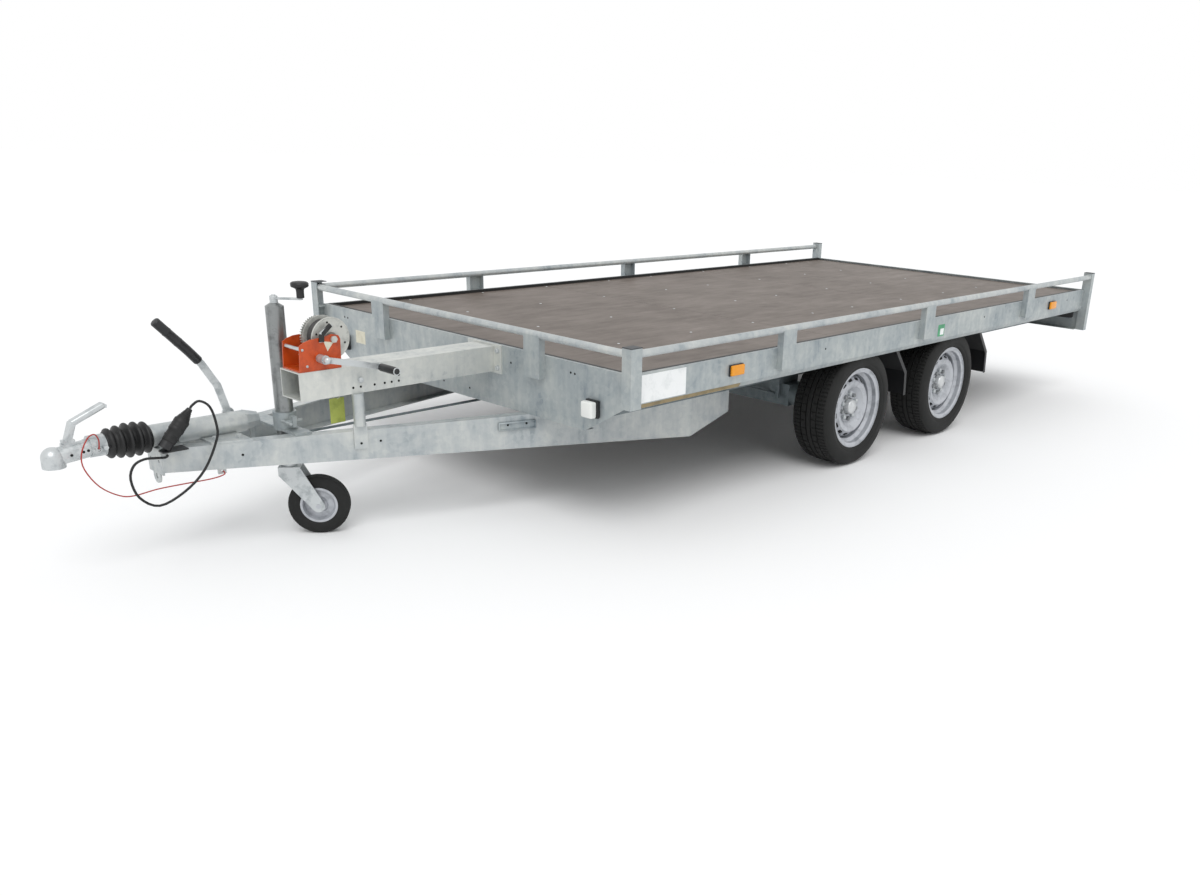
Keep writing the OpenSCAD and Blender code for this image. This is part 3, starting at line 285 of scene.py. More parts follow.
# %% Finishes for the frame
finish_of = {"galvanised": zinc, "galvanised_dark": dark_zinc, "zinc_plated": plated, "deck_ply": deck_film,
             "winch_orange": orange, "winch_silver": pale_silver, "wheel_silver": silver, "drum_grey": cast,
             "tyre_black": tyre_rubber, "rubber_black": soft_rubber, "plastic_black": black_plastic,
             "cap_grey": grey_plastic, "amber_lens": amber, "white_lens": clear_white, "red_lens": signal_red,
             "red_cable": red_coat}
other_finish = {name: pale_zinc for name in ("drawbar_left", "drawbar_right", "drawbar_nose", "winch_post",
                                             "overrun_housing", "handrail_left", "handrail_right",
                                             "handrail_front")}
other_finish["winch_beam"] = bright_zinc
other_finish["jockey_sleeve"] = tube_zinc
for part in frame["record"]["subparts"]:
    mesh = nodes[part["node"]].data
    mesh.materials.clear()
    mesh.materials.append(other_finish.get(part["node"], finish_of[part["material_slot"]]))

# %% [markdown]
# New pieces start from a primitive and are shaped in edit mode. A turned piece is a circle whose edge is
# extruded from ring to ring. A moulded block is a cube with rounded edges. Each piece ends with its
# place in its mesh, a finish, its shading, and the body that carries it.

# %% Modelling helpers
def primitive(adder, name, **settings):
    """Adds a primitive with nothing else selected, and names it."""
    bpy.ops.object.select_all(action="DESELECT")
    adder(**settings)
    piece = bpy.context.active_object
    piece.name = piece.data.name = name
    return piece


def turned(name, rings, steps=48, loop=False):
    """A piece turned on Z, from rings of (distance along the axis, radius) in millimetres."""
    along, radius = rings[0]
    piece = primitive(bpy.ops.mesh.primitive_circle_add, name, vertices=steps, radius=radius * MM,
                      location=(0, 0, along * MM))
    bpy.ops.object.transform_apply()
    bpy.ops.object.mode_set(mode="EDIT")
    bpy.ops.mesh.select_all(action="SELECT")
    for (a0, r0), (a1, r1) in zip(rings, rings[1:]):
        bpy.ops.mesh.extrude_edges_move(TRANSFORM_OT_translate={"value": (0, 0, (a1 - a0) * MM)})
        bpy.ops.transform.resize(value=(r1 / r0, r1 / r0, 1), center_override=(0, 0, a1 * MM))
    bpy.ops.mesh.select_all(action="SELECT")
    if loop:
        bpy.ops.mesh.remove_doubles(threshold=0.00001)
    else:
        bpy.ops.mesh.fill_holes(sides=0)
    bpy.ops.mesh.select_all(action="SELECT")
    bpy.ops.mesh.normals_make_consistent(inside=False)
    bpy.ops.object.mode_set(mode="OBJECT")
    return piece


def block(name, low, high, edge=2.0, segments=2):
    """A block between two corners in millimetres, with rounded edges."""
    size = [b - a for a, b in zip(low, high)]
    piece = primitive(bpy.ops.mesh.primitive_cube_add, name, size=1,
                      location=[(a + b) / 2 * MM for a, b in zip(low, high)], scale=[s * MM for s in size])
    bpy.ops.object.transform_apply()
    bpy.ops.object.mode_set(mode="EDIT")
    bpy.ops.mesh.select_all(action="SELECT")
    bpy.ops.mesh.bevel(offset=min(edge, 0.45 * min(size)) * MM, segments=segments, affect="EDGES")
    bpy.ops.object.mode_set(mode="OBJECT")
    return piece


def pick_faces(piece, wanted):
    """Selects the faces that pass a test, stays in edit mode, and says how many they are."""
    bpy.ops.object.mode_set(mode="EDIT")
    bpy.ops.mesh.select_all(action="DESELECT")
    bpy.ops.mesh.select_mode(type="FACE")
    bpy.ops.object.mode_set(mode="OBJECT")
    for face in piece.data.polygons:
        face.select = wanted(face)
    count = sum(face.select for face in piece.data.polygons)
    bpy.ops.object.mode_set(mode="EDIT")
    return count


def place_piece(piece, at=(0, 0, 0), axis=(0, 0, 1), turn=0.0, up=(0, 0, 1)):
    """Moves a piece there in millimetres, its Z along an axis and its Y towards up as far as can be."""
    out = Vector(axis).normalized()
    across = Vector((1, 0, 0)) if abs(out.z) > 0.999 else Vector(up).cross(out).normalized()
    aim = Matrix((across, out.cross(across), out)).transposed().to_4x4()
    piece.data.transform(Matrix.Translation([v * MM for v in at]) @ aim @ Matrix.Rotation(turn, 4, "Z"))
    return piece


def dress(piece, material, body, smooth=35):
    """Gives a finished piece its material, its shading and its body."""
    bpy.ops.object.select_all(action="DESELECT")
    piece.select_set(True)
    bpy.context.view_layer.objects.active = piece
    bpy.ops.object.shade_smooth_by_angle(angle=math.radians(smooth))
    piece.data.materials.clear()
    piece.data.materials.append(material)
    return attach(piece, body)


def twin_of(first, name):
    """A copy of a piece, with a mesh of its own."""
    twin = first.copy()
    twin.data = first.data.copy()
    bpy.context.scene.collection.objects.link(twin)
    twin.name = twin.data.name = name
    return twin


def copies(first, name, spots):
    """Copies a small piece to each (place, axis, up), every copy with its own mesh, and joins them."""
    made = [place_piece(twin_of(first, name), at, axis, 0.0, *up) for at, axis, *up in spots]
    bpy.data.objects.remove(first)
    bpy.ops.object.select_all(action="DESELECT")
    for twin in made:
        twin.select_set(True)
    bpy.context.view_layer.objects.active = made[0]
    bpy.ops.object.join()
    made[0].name = made[0].data.name = name
    return made[0]


FX = 1210.0                                  # front of the deck's posts, in millimetres
sides = {"left": 1, "right": -1}
print("front of the deck at", FX, "mm")

# %% [markdown]
# A trailer tyre is a closed rubber section swept round the wheel: bead, sidewall, shoulder and a tread
# with four round grooves. The section is turned, and then narrow cross grooves are pressed into the
# ribs by an inset of every second or fourth face. Each wheel stands at another angle, as after a drive.

# %% Tyres
TYRE_R = 262.5
TYRE_STEPS = 180
half_section = [(9.5, 262.4), (9.5, 255.5), (15, 255.5), (15, 262.3), (38.5, 261.8), (38.5, 255), (44, 255),
                (44, 261.5), (62, 260.4), (78, 257.4), (86.5, 252), (92, 243), (95.6, 229), (97.3, 214),
                (96.6, 203), (94, 199), (94.2, 193), (91, 187), (88, 183), (84.5, 180.7), (78.2, 180.6),
                (74, 165.4)]
lining = [(61.5, 165.4), (65.5, 177), (85.5, 212.5), (79.5, 240.5), (57.5, 247.5)]
outside = [(-a, r) for a, r in reversed(half_section)] + half_section
section = outside + lining + [(-a, r) for a, r in reversed(lining)] + [outside[0]]
tyre = turned("tyre_first", section, TYRE_STEPS, loop=True)


def is_cross_groove(face):
    """Whether a face of the tread is the mouth of a cross groove."""
    x, y, z = face.center
    step = round(math.degrees(math.atan2(y, x)) / 360 * TYRE_STEPS - 0.5)
    on_tread = math.hypot(x, y) > 0.2575 and math.hypot(face.normal[0], face.normal[1]) > 0.9
    every = 2 if abs(z) > 0.0445 else 4
    return on_tread and abs(z) > 0.0155 and step % every == (0 if z > 0 else 1)


pressed = pick_faces(tyre, is_cross_groove)
bpy.ops.mesh.inset(thickness=0.0029, depth=-0.004, use_individual=True)
bpy.ops.object.mode_set(mode="OBJECT")
wheels = {"%s_%s" % (end, word): (x, side * 848) for end, x in (("front", FX - 1530), ("rear", FX - 2346))
          for word, side in sides.items()}
for turn, (where, (x, y)) in enumerate(wheels.items()):
    twin = place_piece(twin_of(tyre, "tread_" + where), (x, y, TYRE_R), (0, 1, 0), 0.7 * turn)
    dress(twin, tyre_rubber, "wheel_" + where, 30)
    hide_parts("tyre_" + where)
bpy.data.objects.remove(tyre)
print("tyres with", pressed, "cross grooves each")

# %% [markdown]
# A bright cap covers each hub's nut, and five plated bolts hold the wheel. The cap is turned, and each
# bolt is a six-sided turned piece with a chamfered head. The sixteen slots near the disc's edge get a
# near-black rolled mouth, a turned piece stretched along the disc: painted shade inside each slot.

# %% Hub caps, wheel bolts and slots
BOLT_CIRCLE = 56
SLOT_CIRCLE, SLOTS = 120.5, 16
cap = turned("cap", [(0, 33.2), (22, 33.2), (27, 31.5), (30, 25), (31, 14), (31.4, 6)], 48)
vent = turned("vent", [(-0.8, 6.6), (0.5, 6.6), (0.5, 6.0)], 24)
vent.data.transform(Matrix.Diagonal((2.1, 1, 1, 1)))
nut = turned("nut", [(0, 10.9), (9, 10.9), (11.4, 9), (12.6, 5.5)], 6)
for where, (x, y) in wheels.items():
    body = "wheel_" + where
    side = 1 if y > 0 else -1
    outward = Vector((0, side, 0))
    one = place_piece(twin_of(cap, "hub_cap_" + where), (x, y + side * 31, TYRE_R), outward)
    dress(one, bright_cap, body, 50)
    angles = [math.radians(72 * i + (18 if side > 0 else 198)) for i in range(5)]
    spots = [((x + BOLT_CIRCLE * math.cos(a), y + side * 34.2, TYRE_R + BOLT_CIRCLE * math.sin(a)), outward)
             for a in angles]
    dress(copies(twin_of(nut, "nut"), "wheel_bolts_" + where, spots), plated, body, 30)
    spots = []
    for i in range(SLOTS):
        a = 2 * math.pi * (i + 0.5) / SLOTS
        radial = Vector((math.cos(a), 0, math.sin(a)))
        at = Vector((x, y, TYRE_R)) + SLOT_CIRCLE * radial + 52.4 * outward
        spots.append((at, 0.664 * radial + 0.747 * outward, radial))
    # Painted shade: a near-black disc in each slot of the wheel's disc.
    dress(copies(twin_of(vent, "vent"), "rim_slot_shades_" + where, spots), hole_shade_paint, body)
for one in (cap, nut, vent):
    bpy.data.objects.remove(one)
print("hub caps on", len(wheels), "wheels")

# %% [markdown]
# The jockey wheel has a solid rubber tyre with a flat, finely ribbed tread. The wheel trails behind the
# upright column that carries it.

# %% Jockey wheel tyre
COLUMN_X, COLUMN_Y = FX + 730, 55
trail_turn = math.radians(142)
hub_at = (COLUMN_X + 90 * math.cos(trail_turn), COLUMN_Y + 90 * math.sin(trail_turn), 105)
spin = (-math.sin(trail_turn), math.cos(trail_turn), 0)
ribs = [(i * 7 + a, r) for i in range(-2, 3) for a, r in ((-2.4, 104.9), (2.4, 104.9), (3.0, 102.4))]
small = turned("jockey_tread", [(-22, 64.5), (-25, 74), (-25, 94), (-22, 101), (-18, 103.6)] + ribs[:-1]
               + [(18, 103.6), (22, 101), (25, 94), (25, 74), (22, 64.5), (-22, 64.5)], 72, loop=True)
dress(place_piece(small, hub_at, spin), tyre_rubber, "jockey_wheel")
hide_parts("jockey_wheel_tyre")
print("jockey wheel at", [round(v) for v in hub_at])

# %% [markdown]
# The bellows keep dirt off the sliding tube. They are one moulded sleeve with five round folds, and the
# folds are largest near the housing. Each fold is turned with several rings, so its crest is round.

# %% Bellows
TOW_Z = 418.5                                # height of the sliding tube's axis
FOLDS = 5
VALLEY = 39                                  # radius between the folds
fold = 136 / FOLDS
rise_along = ((0.06, 0.0), (0.2, 0.25), (0.32, 0.8), (0.42, 0.98), (0.5, 1.0), (0.58, 0.98), (0.68, 0.8),
              (0.8, 0.25))
sleeve = [(0, 25.6), (0, 37)]
for i in range(FOLDS):
    crest = 57 - 20 * abs(i - 1.6) / FOLDS
    sleeve += [(i * fold + fold * share, VALLEY + (crest - VALLEY) * rise) for share, rise in rise_along]
sleeve += [(133, 37), (135.4, 37), (135.4, 25.6), (0, 25.6)]
bellows = turned("rubber_bellows", sleeve, 64, loop=True)
dress(place_piece(bellows, (FX + 1163.3, 0, TOW_Z), (1, 0, 0)), soft_rubber, "chassis", 60)
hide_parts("bellows")
print("bellows with", FOLDS, "folds,", round(fold, 1), "mm apart")

# %% [markdown]
# Two hand pieces come next. The jockey wheel's crank is a flat arm on a turned collar, with a mushroom
# knob. The brake lever has a moulded plastic sleeve over its steel end, with shallow finger rings.

# %% Jockey crank and lever grip
CRANK_Z = 822
crank_turn = math.radians(133)
knob_at = (COLUMN_X + 89 * math.cos(crank_turn), COLUMN_Y + 89 * math.sin(crank_turn), CRANK_Z)
knob = turned("jockey_knob", [(7, 11.5), (7.6, 12.6), (30, 12.6), (36, 14), (40, 20), (43, 27), (46, 29),
                              (53, 29.2), (57, 27.6), (59.5, 23), (61, 14)], 32)
dress(place_piece(knob, knob_at), black_plastic, "chassis", 40)
arm = block("jockey_arm", (0, -9, 0), (95, 9, 6.6), 2.5)
collar = turned("jockey_collar", [(-11.5, 13), (10, 13), (12, 11), (12, 7.5), (15, 7), (15, 3)], 32)
place_piece(arm, (COLUMN_X, COLUMN_Y, CRANK_Z), (0, 0, 1), crank_turn)
place_piece(collar, (COLUMN_X, COLUMN_Y, CRANK_Z))
dress(arm, plated, "chassis")
dress(collar, plated, "chassis")
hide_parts("jockey_crank")

lever_pivot = Vector((FX + 878, -50, 440))
grip_foot, grip_bend, grip_end = (lever_pivot + Vector((x, 0, z))
                                  for x, z in ((79, 188), (110, 226), (197, 323)))
foot_rings = [(-3, 12.6), (-1, 14.6), (2, 15.6), (50, 15.6), (54, 11)]
grip_rings = [(-5, 11), (-1, 15.6), (36, 15.8), (38, 16.4), (42, 16.4), (44, 15.8), (84, 15.6), (86, 16.4),
              (90, 16.4), (92, 15.6), (134.6, 15.6), (137, 13.6), (138, 9)]
for name, low, high, rings in (("lever_grip_foot", grip_foot, grip_bend, foot_rings),
                               ("lever_grip", grip_bend, grip_end, grip_rings)):
    grip = turned(name, rings, 32)
    dress(place_piece(grip, low, high - low), black_plastic, "brake_lever")
print("jockey crank and brake lever's grip")

# %% [markdown]
# The winch crank has a roller grip. The coupling's handle is a cast bar with an elbow, made of two
# blocks with well rounded edges.

# %% Winch grip and coupling handle
drum_at = (FX + 634, 190, 707)
GEAR_GAP = 80
CRANK_L = 209
shaft_turn, rest_turn = math.radians(45), math.radians(13.5)
crank_at = (drum_at[0] + GEAR_GAP * math.cos(shaft_turn), drum_at[1],
            drum_at[2] - GEAR_GAP * math.sin(shaft_turn))
grip_at = (crank_at[0] - CRANK_L * math.cos(rest_turn), drum_at[1] + 97,
           crank_at[2] - CRANK_L * math.sin(rest_turn))
crank_grip = turned("crank_grip", [(-0.5, 9), (0, 12.6), (3, 13.5), (88, 13.5), (92, 12.6), (93.6, 9),
                                   (93.8, 6.5)], 32)
dress(place_piece(crank_grip, grip_at, (0, 1, 0)), black_plastic, "winch_crank")

handle_foot, handle_elbow, handle_tip = (Vector((FX + x, 0, z))
                                         for x, z in ((1401, 447), (1381.5, 499), (1286, 541)))
for name, low, high, half, depth, edge in (("handle_foot", handle_foot, handle_elbow, 13.4, 9, 4),
                                           ("handle_arm", handle_elbow, handle_tip, 14, 9.5, 7)):
    bar = block(name, (-half, -depth, -4), (half, depth, (high - low).length + 4), edge, 4)
    dress(place_piece(bar, low, high - low), plated, "chassis", 50)
print("crank grip and the coupling's handle")

# %% [markdown]
# The winch drum is pressed sheet with a rolled edge and six holes, each with a near-black disc of painted
# shade. Wire rope lies on it turn beside turn: the section goes up and down once for each turn of the rope.
# The rope's dark colour is painted shade between the drum's flanges.

# %% Winch drum
ROPE_TURNS = 10
ROPE_PITCH = 4.75
DRUM_HOLES = 6


def bead(name, radius, wide, high, corners, steps, middle=0.0):
    """A ring with a round section, such as a rolled edge or a wire hook."""
    angles = [i * math.pi / (corners / 2) for i in range(corners + 1)]
    section = [(middle + wide * math.sin(a), radius + high * math.cos(a)) for a in angles]
    return turned(name, section, steps, loop=True)


turns = [(-12.6, 33)]
for i in range(ROPE_TURNS):
    turns += [(-12.2 + i * ROPE_PITCH + a, 57 + r)
              for a, r in ((0.3, -1.6), (1.2, 0.6), (2.4, 1.2), (3.6, 0.6), (4.4, -1.6))]
turns += [(35.4, 33)]
rope = turned("wound_rope", turns, 64)
# The rope's dark colour is painted shade between the drum's flanges.
dress(place_piece(rope, drum_at, (0, 1, 0)), rope_with_painted_shade, "winch_drum", 60)
for name, middle in (("near_drum_edge", 38.0), ("far_drum_edge", -15.0)):
    edge = bead(name, 67.9, 2.2, 2.0, 8, 96, middle)
    dress(place_piece(edge, drum_at, (0, 1, 0)), pale_silver, "winch_drum", 60)
boss = turned("drum_boss", [(38.5, 30), (41, 28), (41.5, 22), (39.5, 19), (39.5, 11)], 48)
dress(place_piece(boss, drum_at, (0, 1, 0)), pale_silver, "winch_drum")
hole = turned("hole", [(0, 3.6), (0.5, 3.6), (0.5, 3.0)], 16)
spots = [((drum_at[0] + 54 * math.cos(a), drum_at[1] + 38.8, drum_at[2] + 54 * math.sin(a)), (0, 1, 0))
         for a in [0.35 + i * math.pi / 3 for i in range(DRUM_HOLES)]]
# Painted shade: a near-black disc in each of the drum's holes.
dress(copies(hole, "drum_hole_shades", spots), hole_shade_paint, "winch_drum")
print("winch rope in", ROPE_TURNS, "turns")

# %% [markdown]
# The winch's ratchet side has a raised ring round the crank shaft, rivets, a black pawl whose tooth
# reaches the gear, and a plain warning triangle.

# %% Winch frame details
CHEEK = 244.9                                # left face of the winch's frame
WINCH_FOOT = 610                             # underside of the frame, on the beam
ring = turned("crank_ring", [(0, 19), (3, 18), (3.4, 15), (2.6, 11), (0, 10.5), (0, 19)], 48, loop=True)
dress(place_piece(ring, (crank_at[0], CHEEK, crank_at[2]), (0, 1, 0)), orange, "chassis")
rivet = turned("rivet", [(0, 4.6), (1.4, 4.2), (2.2, 2.2)], 20)
spots = [((FX + 748, CHEEK, 683), (0, 1, 0)), ((FX + 735, CHEEK, 628), (0, 1, 0)),
         ((FX + 748, 135.1, 683), (0, -1, 0))]
dress(copies(rivet, "winch_rivets", spots), plated, "chassis")
for name, low, high, wide in (("pawl_foot", (46, 92), (43, 119), 9.5),
                              ("pawl_tooth", (42, 116), (8, 146), 8)):
    start, stop = (Vector((drum_at[0] + x, 248.2, WINCH_FOOT + z)) for x, z in (low, high))
    bar = block(name, (-4.0, -wide, 0), (4.0, wide, (stop - start).length), 3, 2)
    dress(place_piece(bar, start, stop - start), black_oxide, "chassis")
sign = primitive(bpy.ops.mesh.primitive_circle_add, "winch_triangle", vertices=3, radius=0.021,
                 fill_type="NGON")
bpy.ops.object.mode_set(mode="EDIT")
bpy.ops.mesh.extrude_region_move(TRANSFORM_OT_translate={"value": (0, 0, 0.0006)})
bpy.ops.mesh.inset(thickness=0.002, depth=0.0002)
bpy.ops.object.mode_set(mode="OBJECT")
dress(place_piece(sign, (FX + 655, 245, 690), (0, 1, 0), math.radians(170)), cream, "chassis")
print("winch ring, rivets, pawl and triangle")

# %% [markdown]
# The lamps are moulded lenses on black bases. The rear lamp has three fields: brake light, turn signal
# and reversing light. Every lamp is written for the left side, and the right one mirrors it.

# %% Lamps
def side_block(name, side, xs, ys, zs, edge, segments=2):
    """A block given for the left side, or its mirror image on the right."""
    near, far = sorted((side * ys[0], side * ys[1]))
    return block(name, (xs[0], near, zs[0]), (xs[1], far, zs[1]), edge, segments)


BACK = FX - 3880                             # rear face of the rear sill
LAMP_OUT, LAMP_W = 919, 238                  # outer edge and width of a rear lamp
fields = ((0.0, 0.5, signal_red, "red_lens", "brake"), (0.5, 0.78, amber, "amber_lens", "turn"),
          (0.78, 1.0, clear_white, "white_lens", "reverse"))
for word, side in sides.items():
    base = side_block("front_lamp_base_" + word, side, (FX - 32.7, FX - 18), (760, 822), (440, 504), 4)
    dress(base, black_plastic, "chassis")
    shell = side_block("front_lamp_lens_" + word, side, (FX - 19, FX + 9), (763, 819), (443, 501), 7, 3)
    dress(shell, clear_white, "chassis", 50)
    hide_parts("front_lamps")
    tray = side_block("rear_lamp_tray_" + word, side, (BACK - 5, BACK + 36), (680.3, 919.7),
                      (445.3, 554.7), 4)
    dress(tray, black_plastic, "chassis")
    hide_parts("tail_lamps")
    for start, stop, tinted, slot, use in fields:
        ys = (LAMP_OUT - LAMP_W * stop + 1, LAMP_OUT - LAMP_W * start - 1)
        field = side_block("rear_%s_lens_%s" % (use, word), side, (BACK - 14, BACK - 4), ys, (447, 553), 5, 3)
        dress(field, tinted, "chassis", 50)
for word, side in sides.items():
    for x, end in ((FX - 594, "front"), (FX - 3416, "rear")):
        name = "%s_%s" % (end, word)
        base = side_block("marker_base_" + name, side, (x - 41, x + 41), (967.3, 973), (543, 587), 2.4)
        dress(base, black_plastic, "chassis")
        shell = side_block("marker_lens_" + name, side, (x - 38, x + 38), (971, 983.3), (545, 585), 5.4, 4)
        dress(shell, amber, "chassis", 60)
        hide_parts("side_markers")
print("front, side and rear lamps")

# %% [markdown]
# Labels are thin vinyl or card, and bare: a white panel on the rail, a small green-edged one further
# back, a cream plate, and a card that hangs from the winch beam. A thin tan strip on the rail's lip, which
# faces down and out, is painted shade and painted reflected light from below.

# %% Labels
RAIL = 967                                   # outer face of the side rails
panel = block("rail_panel", (FX - 314, RAIL, 514), (FX - 72, RAIL + 0.6, 611), 0.3, 1)
dress(panel, white, "chassis")
# Painted shade and reflected light: a tan strip on the downward-facing lip.
lip = block("rail_lip_painted_reflection", (-285, -9.3, 0.1), (285, 9.3, 0.7), 0.2, 1)
dress(place_piece(lip, (FX - 345, RAIL - 5.2, 502), (0, 0.857, -0.514)), tan, "chassis")
edging = block("rail_green_label", (FX - 2190, RAIL, 524), (FX - 2128, RAIL + 0.6, 580), 0.3, 1)
dress(edging, leaf_green, "chassis")
field = block("rail_green_label_field", (FX - 2184, RAIL + 0.5, 530), (FX - 2150, RAIL + 0.9, 560), 0.2, 1)
dress(field, white, "chassis")
plate = block("plate_label", (FX - 33, -715, 480), (FX - 32.4, -642, 535), 0.3, 1)
dress(plate, cream, "chassis")
card = block("winch_card", (FX + 580, 189.4, 408), (FX + 636, 190.6, 495), 0.4, 1)
bpy.ops.object.mode_set(mode="EDIT")
bpy.ops.mesh.select_all(action="SELECT")
bpy.ops.mesh.bisect(plane_co=((FX + 600) * MM, 0, 0.45), plane_no=(1, 0, 0))
bpy.ops.object.mode_set(mode="OBJECT")
dress(card, lime, "chassis")
tie = bead("card_tie", 12, 0.9, 0.9, 6, 32)
dress(place_piece(tie, (FX + 607, 190, 503.5), (0.2, 1, 0)), cream, "chassis", 60)
print("bare labels")

# %% [markdown]
# Drilled holes show as small near-black discs, painted shade inside each hole: along the winch beam, in the
# front plate, the rails and the coupling, and in the drawbar's beams and bracket. The beams spread towards
# the rear. One hole is modelled and copied.

# %% Drilled holes
SPLAY = 613 / 1850                           # how far a drawbar beam goes outwards for each step back
slant = math.atan(SPLAY)


def beam_y(x):
    """Distance from the middle to a drawbar beam's outer face, x ahead of the deck."""
    return 50 + SPLAY * (1150 - x)


hole = turned("hole", [(-0.6, 4.4), (0.25, 4.4), (0.25, 3.6)], 16)
spots = [((FX + x, 250, 536), (0, 1, 0)) for x in (577, 548, 494, 454, 426, 397)]
spots += [((FX + 396, 250, 557), (0, 1, 0))]
plate_holes = [(670, 578), (691, 577), (-795, 580), (-771, 579), (84, 419), (-84, 419), (-300, 430), (340, 560)]
spots += [((FX - 33, y, z), (1, 0, 0)) for y, z in plate_holes]
spots += [((FX - x, side * RAIL, 575), (0, side, 0)) for x in (1184, 2600, 3630) for side in (1, -1)]
for side in (1, -1):
    outward = (math.sin(slant), side * math.cos(slant), 0)
    for x, z, lift in ((925, 339, 0), (495, 339, 0), (560, 339, 8.3), (50, 350, 4.3), (-20, 350, 4.3)):
        if side > 0 or lift == 0:
            at = (FX + x + lift * math.sin(slant), side * (beam_y(x) + lift * math.cos(slant)), z)
            spots.append((at, outward))
    spots += [((FX + 1447 - x, side * (27.1 + x / 64), 402.7 + x / 8), (0, side, 0)) for x in (44, 78, 92)]
# Painted shade: each copy is a near-black disc inside a drilled hole.
dress(copies(hole, "drilled_hole_shades", spots), hole_shade_paint, "chassis")
print(len(spots), "drilled holes")

# %% [markdown]
# Rows of screws hold the deck to its cross members. A thin near-black strip along the rails and the
# front plate is painted shade in the gap between the deck and the rails' flanges.

# %% Deck screws and painted gap shade
screw = turned("screw", [(0, 6), (0.8, 5.8), (1.6, 4.2), (1.1, 3.7), (1.1, 1.2)], 16)
rows = [-460, -890, -1312, -1775, -2120, -2591, -3050, -3450]
spots = [((FX + x, y, 604.6), (0, 0, 1)) for x in rows for y in (-920, -480, 0, 480, 920)]
dress(copies(screw, "deck_screws", spots), plated, "chassis", 60)
# Painted shade: near-black strips in the gap at the deck's edges, in the rubber finish.
for word, low, high in (("left", (FX - 3862, 939.6), (FX - 53, 951.7)),
                        ("right", (FX - 3862, -951.7), (FX - 53, -939.6)),
                        ("front", (FX - 60.4, -951), (FX - 48.3, 951))):
    gap_shade_strip = block("painted_gap_shade_" + word, (*low, 604.6), (*high, 618.2), 0.8, 1)
    dress(gap_shade_strip, soft_rubber, "chassis")
print(len(spots), "deck screws")

# %% [markdown]
# A pressed bracket with a sunk field sits on the left drawbar beam, and hex bolts hold the beams and
# brackets together.

# %% Bracket and bolts
bracket = block("drawbar_bracket", (-75, -17, 0), (75, 17, 11), 5, 3)
pick_faces(bracket, lambda face: face.normal.z > 0.99)
bpy.ops.mesh.inset(thickness=0.003, depth=-0.007)
bpy.ops.object.mode_set(mode="OBJECT")
dress(place_piece(bracket, (FX + 15, beam_y(15), 345), (math.sin(slant), math.cos(slant), 0)),
      zinc, "chassis")

bolt = turned("bolt", [(0, 11), (1.6, 11), (1.6, 9.5), (8, 9.5), (9, 8)], 6)
spots = [((FX - x, side * 663, 420), (0, side, 0)) for side in (1, -1) for x in (760, 880)]
spots += [((FX + 548, 250, 560), (0, 1, 0))]
spots += [((FX - 27, y, z), (1, 0, 0)) for y in (110, 270) for z in (530, 595)]
dress(copies(bolt, "frame_bolts", spots), plated, "chassis", 30)
print(len(spots), "bolts")

# %% [markdown]
# The electric lead hangs in a loop in front of the drawbar and ends in its plug, which stands in the
# holder. A thin red breakaway cable hangs beside it and is clipped to the coupling. Both follow a smooth
# curve through a few chosen points, and their real length is that of the curve.

# %% Cords
def smooth(points, steps):
    """Points of a smooth curve through the chosen ones."""
    out = []
    for i in range(len(points) - 1):
        a, b, c, d = (Vector(points[k]) for k in (max(i - 1, 0), i, i + 1, min(i + 2, len(points) - 1)))
        for k in range(steps):
            t = k / steps
            out.append(0.5 * (2 * b + (c - a) * t + (2 * a - 5 * b + 4 * c - d) * t * t
                              + (3 * b - a - 3 * c + d) * t ** 3))
    return out + [Vector(points[-1])]


def lay_cord(name, points, diameter, material):
    """A round cord along a route in millimetres."""
    path = [Vector((p[0] + FX, p[1], p[2])) * MM for p in smooth(points, 4)]
    curve = bpy.data.curves.new(name, "CURVE")
    curve.dimensions = "3D"
    curve.bevel_depth = diameter / 2 * MM
    curve.bevel_resolution = 4
    curve.use_fill_caps = True
    line = curve.splines.new("POLY")
    line.points.add(len(path) - 1)
    for point, at in zip(line.points, path):
        point.co = (*at, 1)
    line.use_smooth = True
    curve.materials.append(material)
    cord = bpy.data.objects.new(name, curve)
    bpy.context.scene.collection.objects.link(cord)
    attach(cord, "chassis")
    return cord, path, sum((b - a).length for a, b in zip(path, path[1:]))


lead_route = [(1137, 54.9, 362), (1142, 66, 363), (1158, 84, 366), (1190, 103, 375), (1232, 116, 382),
              (1266, 120, 369), (1281, 120, 328), (1263, 120, 265), (1207, 120, 226), (1125, 120, 254),
              (1053, 120, 313), (1003, 120, 404), (997, 118, 453), (1006, 106, 510), (1030, 90, 530),
              (1050, 81, 518), (1057.8, 80, 508.3)]
lead, lead_path, lead_length = lay_cord("electric_lead", lead_route, 8, soft_rubber)
red_route = [(984, 100.3, 290), (988, 112, 282), (1030, 112, 276), (1110, 98, 273), (1194, 90, 271),
             (1266, 90, 265), (1309, 90, 275), (1361, 90, 315), (1395, 90, 376), (1396, 88, 423),
             (1370, 80, 466), (1346, 70, 472), (1334, 62, 452), (1333, 56, 430), (1332, 48.4, 419)]
red, red_path, red_length = lay_cord("breakaway_cord", red_route, 4, red_coat)
print("lead", round(lead_length, 3), "m, red cable", round(red_length, 3), "m")

# %% [markdown]
# The lead ends in a plug: a barrel with two collars, a ribbed grip and a stepped strain relief. The red
# cable ends in a small wire hook on the coupling.

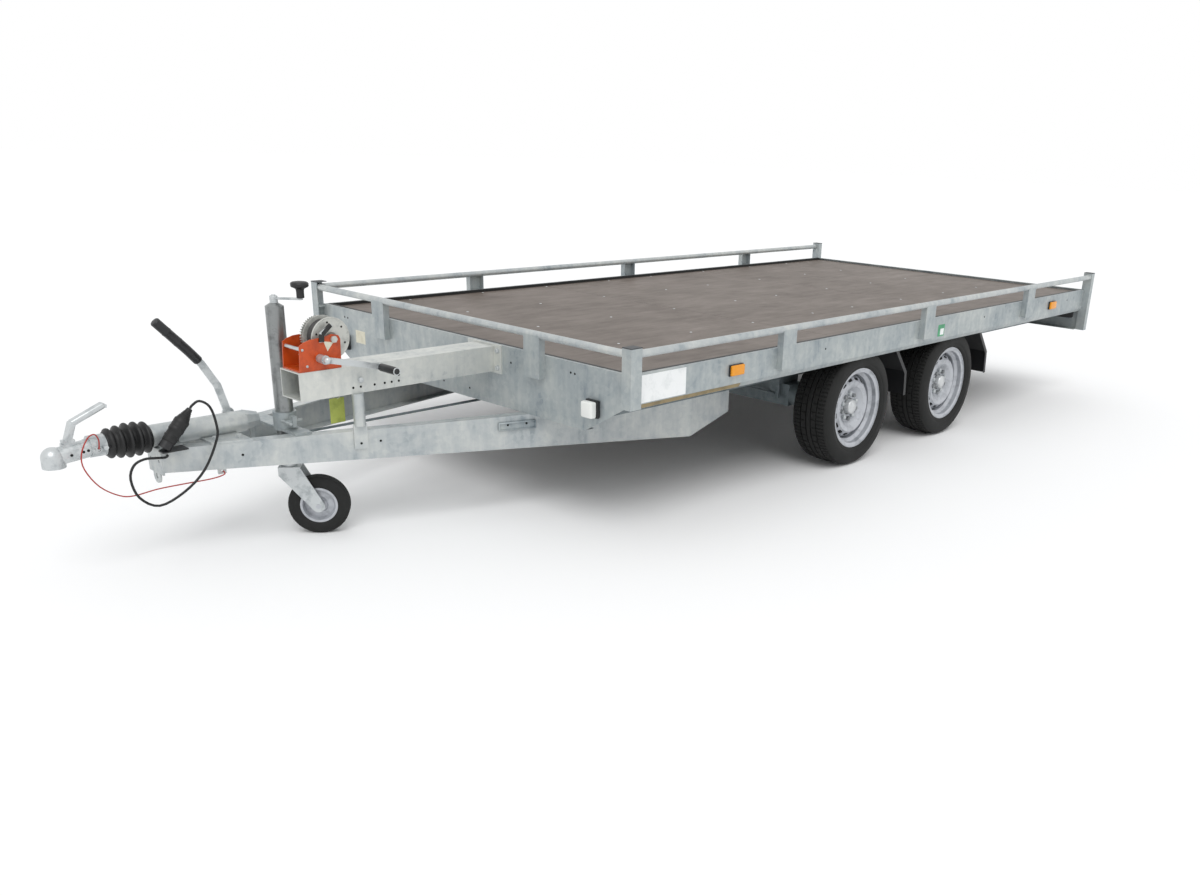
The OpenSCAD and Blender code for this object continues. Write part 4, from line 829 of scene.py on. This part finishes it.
# %% Cord ends
plug_foot = Vector((FX + 1139, 80, 413))
plug_head = Vector((FX + 1058, 80, 508))
barrel = [(0, 17), (0.4, 20.5), (3, 21.6), (16, 21.8), (17, 23.6), (22, 23.6), (23, 21.8), (39, 21.8),
          (41, 23.8)]
ribbed = [(52, 23.9), (54, 22.8), (57, 23.8), (60, 22.8), (63, 23.8), (66, 22.8), (69, 23.8), (80, 23.6)]
relief = [(84, 20.5), (96, 16.8), (97, 15.2), (101, 15.6), (102, 13.8), (106, 14), (107, 12.2), (111, 12.4),
          (112, 10.4), (118, 10), (124.2, 8), (124.6, 5)]
plug = turned("lead_plug", barrel + ribbed + relief, 40)
dress(place_piece(plug, plug_foot, plug_head - plug_foot), soft_rubber, "chassis", 45)
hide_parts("plug")
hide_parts("plug_cable")
hook = bead("breakaway_hook", 8, 1.6, 1.6, 6, 24)
dress(place_piece(hook, (FX + 1333, 50.2, TOW_Z), (0, 1, 0)), plated, "chassis", 60)
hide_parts("breakaway_cable")
print("plug and hook")

# %% [markdown]
# The studio is a pale floor under a soft white sky. The sky and one soft lamp light the trailer. To the
# camera and in reflections the sky is plain white.

# %% Floor and light
floor = primitive(bpy.ops.mesh.primitive_plane_add, "studio_floor", size=90)
floor_paint, shader = blank("studio_floor_paint", Roughness=1.0, Base_Color=linear("#fbfbfb"),
                            Specular_IOR_Level=0.0)
floor.data.materials.append(floor_paint)

sky = bpy.data.worlds.new("studio_sky")
sky.use_nodes = True
rays = add(sky, "ShaderNodeLightPath").outputs
for_light = sky.node_tree.nodes["Background"]
for_light.inputs["Color"].default_value = linear("#fdfeff")
for_light.inputs["Strength"].default_value = 0.82
for_eye = add(sky, "ShaderNodeBackground", values={"Color": (1, 1, 1, 1), "Strength": 1.0})
seen = add(sky, "ShaderNodeMath", {"operation": "MAXIMUM"},
           links={0: rays["Is Camera Ray"], 1: rays["Is Glossy Ray"]})
seen = add(sky, "ShaderNodeMath", {"operation": "MAXIMUM"},
           links={0: seen.outputs[0], 1: rays["Is Transmission Ray"]})
chosen = add(sky, "ShaderNodeMixShader",
             links={"Fac": seen.outputs[0], 1: for_light.outputs[0], 2: for_eye.outputs[0]})
sky.node_tree.links.new(chosen.outputs[0], sky.node_tree.nodes["World Output"].inputs["Surface"])
bpy.context.scene.world = sky

sun = bpy.data.lights.new("soft_lamp", "SUN")
sun.energy = 1.05
sun.angle = math.radians(35)
lamp = bpy.data.objects.new("soft_lamp", sun)
lamp.rotation_euler = Vector((0.45, 0.55, 1.0)).to_track_quat("Z", "Y").to_euler()
bpy.context.scene.collection.objects.link(lamp)
bpy.context.scene.view_settings.view_transform = "Standard"
print("sky and one soft lamp")
